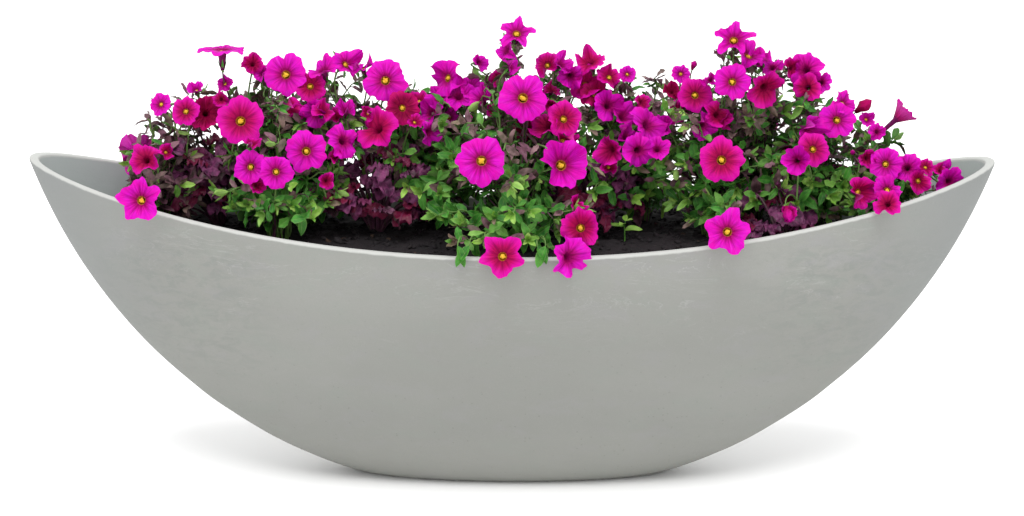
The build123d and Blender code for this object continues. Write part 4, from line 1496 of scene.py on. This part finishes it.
# purple foliage: crumpled round blades on stalks from one crown
# name: number of stalks, height, lean in x and y, spread
PURPLE = {
    "purple_leaf_1": (60, 0.140, -0.030, -0.060, 1.30),
    "purple_leaf_2": (44, 0.122, 0.000, -0.012, 1.30),
    "purple_leaf_3": (36, 0.124, 0.006, -0.010, 1.25),
    "purple_leaf_4": (12, 0.074, -0.016, 0.010, 0.95),
}
for name, pl in plants.items():
    if not name.startswith("purple"):
        continue
    count, H, lean_x, lean_y, spread = PURPLE[name]
    for i in range(count):
        az = i * 2.39996 + rng.uniform(-0.4, 0.4)
        al = 0.15 + 1.25 * math.sqrt((i + 0.5) / count)
        reach = pl.r * spread * math.sin(al) * rng.uniform(0.55, 1.15)
        h = H * (0.18 + 0.80 * math.cos(al) ** 0.8) * rng.uniform(0.62, 1.14)
        up = h / H
        end = np.array([pl.x + reach * math.cos(az) + lean_x * up, pl.y + reach * math.sin(az) + lean_y * up,
                        SOIL_Z + h])
        e = room(end[0], end[1], 0.018)
        if e > 1:
            end[:2] /= e
        out = np.array([math.cos(az), math.sin(az), 0.0])
        p0 = np.array([pl.x, pl.y, SOIL_Z + 0.001]) + out * 0.006
        pts = wall_clear(curve_points(p0, p0 + np.array([0, 0, 0.5 * h]) + out * 0.1 * reach,
                                      end - out * 0.3 * reach, end, 8))
        pts[0, 2] = SOIL_Z + 0.001
        add_tube(pl.stems, pts, np.linspace(0.0019, 0.0012, 8), 6, tint=0.9)
        m = 3
        ga = az + np.array([0.0, 1.2, -1.2]) + rng.uniform(-0.4, 0.4, m)
        along = unit(np.stack([np.cos(ga), np.sin(ga), rng.uniform(-0.45, 0.5, m)], -1))
        nrm = unit(np.stack([0.2 * np.cos(ga), -0.55 + 0.2 * np.sin(ga), np.full(m, 0.8)], -1)
                   + rng.normal(0, 0.30, (m, 3)))
        size = rng.uniform(0.015, 0.040, m) * np.array([1.0, 0.85, 0.85])
        shade = rng.choice([0.25, 0.45, 0.45, 0.8]) + rng.normal(0, 0.08, m)
        grow_leaves(pl, np.repeat([end], m, 0), along, nrm, size, size * rng.uniform(0.55, 0.9), "round",
                    droop=rng.uniform(0.0, 0.6, m), fold=rng.uniform(-0.3, 0.35, m),
                    ruffle=rng.uniform(0.55, 1.0, m), wobble=0.14, crumple=1.0,
                    tint=np.clip(shade, 0, 1), grid=(15, 9))


def stalk(pl, base, nrm, thick=0.0010, tint=0.3, own=None):
    """The flower stalk: back from the calyx and down into its own plant."""
    base = np.asarray(base, float)
    tips = np.array(pl.tips)
    d = np.linalg.norm((tips - base - np.array([0, 0.0, -0.03])) * np.array([1, 0.8, 0.6]), axis=1)
    d = d + np.where(tips[:, 2] > base[2] - 0.004, 0.06, 0.0)
    best = None
    for k in np.argsort(d)[:14]:
        foot = tips[k]
        reach = np.linalg.norm(foot - base)
        p1 = base - unit(nrm) * min(0.45 * reach + 0.004, 0.022)
        p2 = foot + np.array([0, 0, min(0.4 * reach, 0.02)])
        pts = curve_points(base, p1, p2, foot, 9)
        cost = crossings(pts, own) * 0.05 + d[k]
        if best is None or cost < best[0]:
            best = (cost, pts)
    pts = wall_clear(best[1], 0.003)
    pts[0] = base
    add_tube(pl.stems, pts, np.linspace(thick, thick * 1.25, 9), 6, tint=tint)


HULL_Z = np.array([0, 17, 40, 84, 132, 194, 259, 322, 360, 411.5, 465]) / 1000
HULL_A = np.array([181, 250, 288, 360, 420, 480, 528, 565, 580, 601.7, 619]) / 1000
HULL_B = np.array([44, 67, 83.5, 104.6, 123, 143.3, 161.8, 178, 184.6, 189.9, 194]) / 1000


def in_wall(p):
    """How many of the points are inside the thickness of the planter's wall."""
    a = np.interp(p[:, 2], HULL_Z, HULL_A) + 0.0015
    b = np.interp(p[:, 2], HULL_Z, HULL_B) + 0.0015
    rim = 0.322 + 0.089 * np.abs(p[:, 0] / 0.6) ** 2.1 + 0.002
    outer = np.hypot(p[:, 0] / a, p[:, 1] / b)
    inner = np.hypot(p[:, 0] / (a - 0.0145), p[:, 1] / (b - 0.0140))
    return int(((p[:, 2] < rim) & (outer < 1) & (inner > 1)).sum())


def clear_of_wall(c, nrm, dia):
    """Moves a bloom along the line of sight until its limb is clear of the wall."""
    ref = unit(np.cross(nrm, np.array([0.0, 0.0, 1.0]) if abs(nrm[2]) < 0.9 else np.array([1.0, 0, 0])))
    oth = np.cross(nrm, ref)
    a = np.arange(24) * 2 * math.pi / 24
    ring = np.cos(a)[:, None] * ref + np.sin(a)[:, None] * oth
    rings = np.concatenate([ring * dia * f for f in (0.5, 0.35, 0.2)] + [-nrm[None] * dia * f for f in (0.15, 0.3, 0.42)])
    best = None
    for dy in (0.0, -0.006, 0.006, -0.012, 0.012, -0.018, 0.018, -0.026, 0.026, -0.034, 0.034):
        c2 = c + np.array([0.0, dy, dy * -0.27])
        hits = in_wall(c2 + rings)
        if best is None or hits < best[0]:
            best = (hits, c2)
        if hits == 0:
            break
    return best[1]


for x, y, z, dia, tx, tz, colour, shape in BLOOMS:
    pl = nearest(x, y)
    nrm = facing(tx, tz)
    tube = 0.42
    if tz > 3:
        stalk_tint = 0.95
    else:
        stalk_tint = 0.25
    eyed = 1.0
    if shape == "c":
        nrm = unit(nrm + np.array([rng.uniform(-0.8, 0.8), 0, rng.uniform(-0.5, 0.7)]))
        dia = dia * 1.24
        eyed = 0.0 if rng.uniform() < 0.6 else 1.0
    x, y, z = clear_of_wall(np.array([x, y, z]), nrm, dia)
    y = max(y, -0.196 + 0.5 * dia * math.hypot(nrm[0], nrm[2]) * 0.8)
    # a bloom that lies against the wall has its tube shortened, so only its mouth is deep
    while tube > 0.13 and in_wall(np.array([x, y, z]) - nrm * dia * np.linspace(0.1, tube + 0.04, 12)[:, None]):
        tube -= 0.03
    base = add_bloom(pl.petals, pl.anthers, pl.leaves, (x, y, z), dia, nrm, float(colour), shape, tube,
                     eyed=eyed)
    stalk(pl, base, nrm, tint=stalk_tint, own=np.array([x, y, z]))

for x, y, z, size, tx, tz, colour in BUDS:
    pl = nearest(x, y)
    nrm = facing(tx, tz)
    base = add_bud(pl.petals, pl.leaves, (x, y, z), size, nrm, min(float(colour), 2.2))
    stalk(pl, base, nrm, 0.0008)

# the trumpet seen from its side
pl = nearest(0.45, -0.005)
d = unit(np.array([0.032, 0.0, 0.029]))
base = add_bloom(pl.petals, pl.anthers, pl.leaves, (0.475, -0.005, 0.460), 0.033, d, 0.7, "f", 1.0, eyed=0.0)
stalk(pl, base, unit(np.array([0.6, 0, 0.8])))

# the far side has blooms of its own, lower than the leaf mass
for k in range(34):
    nm = ["petunia_3", "petunia_4", "petunia_6", "petunia_7", "petunia_9", "petunia_1", "petunia_10"][k % 7]
    pl = plants[nm]
    a = rng.uniform(0.25 * math.pi, 0.75 * math.pi)
    reach = pl.r * rng.uniform(0.95, 1.25)
    x = pl.x + reach * math.cos(a)
    y = min(pl.y + reach * math.sin(a), 0.165)
    z = SOIL_Z + (LEAF_TOP[nm] - SOIL_Z) * rng.uniform(0.40, 0.66)
    e = room(x, y, 0.012)
    if e > 1:
        x, y = x / e, y / e
    nrm = unit(np.array([rng.uniform(-0.5, 0.5), rng.uniform(0.7, 1.0), rng.uniform(0.1, 0.8)]))
    shape = rng.choice(["r", "c", "c"])
    base = add_bloom(pl.petals, pl.anthers, pl.leaves, (x, y, z), rng.uniform(0.034, 0.056), nrm,
                     float(rng.choice([0, 0, 1, 1, 2])), shape)
    stalk(pl, base, nrm)

# the seedling
lo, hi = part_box("seedling")
seed_leaves = Store("tint", "side", "dusk")
sx, sy = (lo.x + hi.x) / 2, (lo.y + hi.y) / 2
pts = curve_points(np.array([sx, sy, SOIL_Z + 0.001]), np.array([sx + 0.002, sy, SOIL_Z + 0.012]),
                   np.array([sx - 0.002, sy - 0.002, SOIL_Z + 0.022]),
                   np.array([sx + 0.001, sy - 0.001, SOIL_Z + 0.030]), 8)
add_tube(seed_leaves, pts, np.linspace(0.0011, 0.0007, 8), 6, tint=0.5)
a = np.array([0.2, 2.9, 4.4, 1.6, 5.4])
along = unit(np.stack([np.cos(a), np.sin(a), np.array([0.25, 0.3, 0.5, 0.6, 0.7])], -1))
add_leaves(seed_leaves, pts[[4, 5, 6, 7, 7]], along, np.tile([0, -0.3, 1.0], (5, 1)),
           np.array([0.024, 0.026, 0.020, 0.017, 0.013]), np.array([0.010, 0.010, 0.008, 0.007, 0.005]),
           "ovate", droop=0.3, fold=0.3, tint=np.array([0.8, 0.7, 0.9, 0.9, 1.0]))
piece = seed_leaves.build("seedling_plant", M["leaf"])
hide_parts("seedling")

for name, pl in plants.items():
    purple = name.startswith("purple")
    leaves = pl.leaves.build(name + "_leaves", M["purple"] if purple else M["leaf"])
    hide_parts(name + "_crown")
    stems = pl.stems.build(name + "_stems", M["stem"])
    if pl.petals.count:
        petals = pl.petals.build(name + "_flowers", M["petal"])
        anthers = pl.anthers.build(name + "_anthers", M["anther"])

# ------------------------------------------------------------------ floor and light
me = bpy.data.meshes.new("floor")
me.from_pydata([(-14, -8, 0), (14, -8, 0), (14, 20, 0), (-14, 20, 0)], [], [(0, 1, 2, 3)])
floor = bpy.data.objects.new("floor", me)
bpy.context.scene.collection.objects.link(floor)
k = Nodes("floor")
pos = k.coord()
fl = k.mix(k.noise(pos, 3.0, 2.0), (0.945, 0.945, 0.945, 1), (0.96, 0.96, 0.96, 1))
me.materials.append(k.surface(fl, 0.9, specular=0.1))

world = bpy.data.worlds.new("studio")
world.use_nodes = True
world.node_tree.nodes["Background"].inputs[0].default_value = (1.0, 1.0, 1.0, 1)
world.node_tree.nodes["Background"].inputs[1].default_value = 1.2
bpy.context.scene.world = world


sun = bpy.data.lights.new("sun", "SUN")
sun.energy = 1.95
sun.angle = math.radians(40)
sun_ob = bpy.data.objects.new("sun", sun)
bpy.context.scene.collection.objects.link(sun_ob)
sun_ob.rotation_euler = Vector((0.03, 0.46, -1.0)).to_track_quat("-Z", "Y").to_euler()
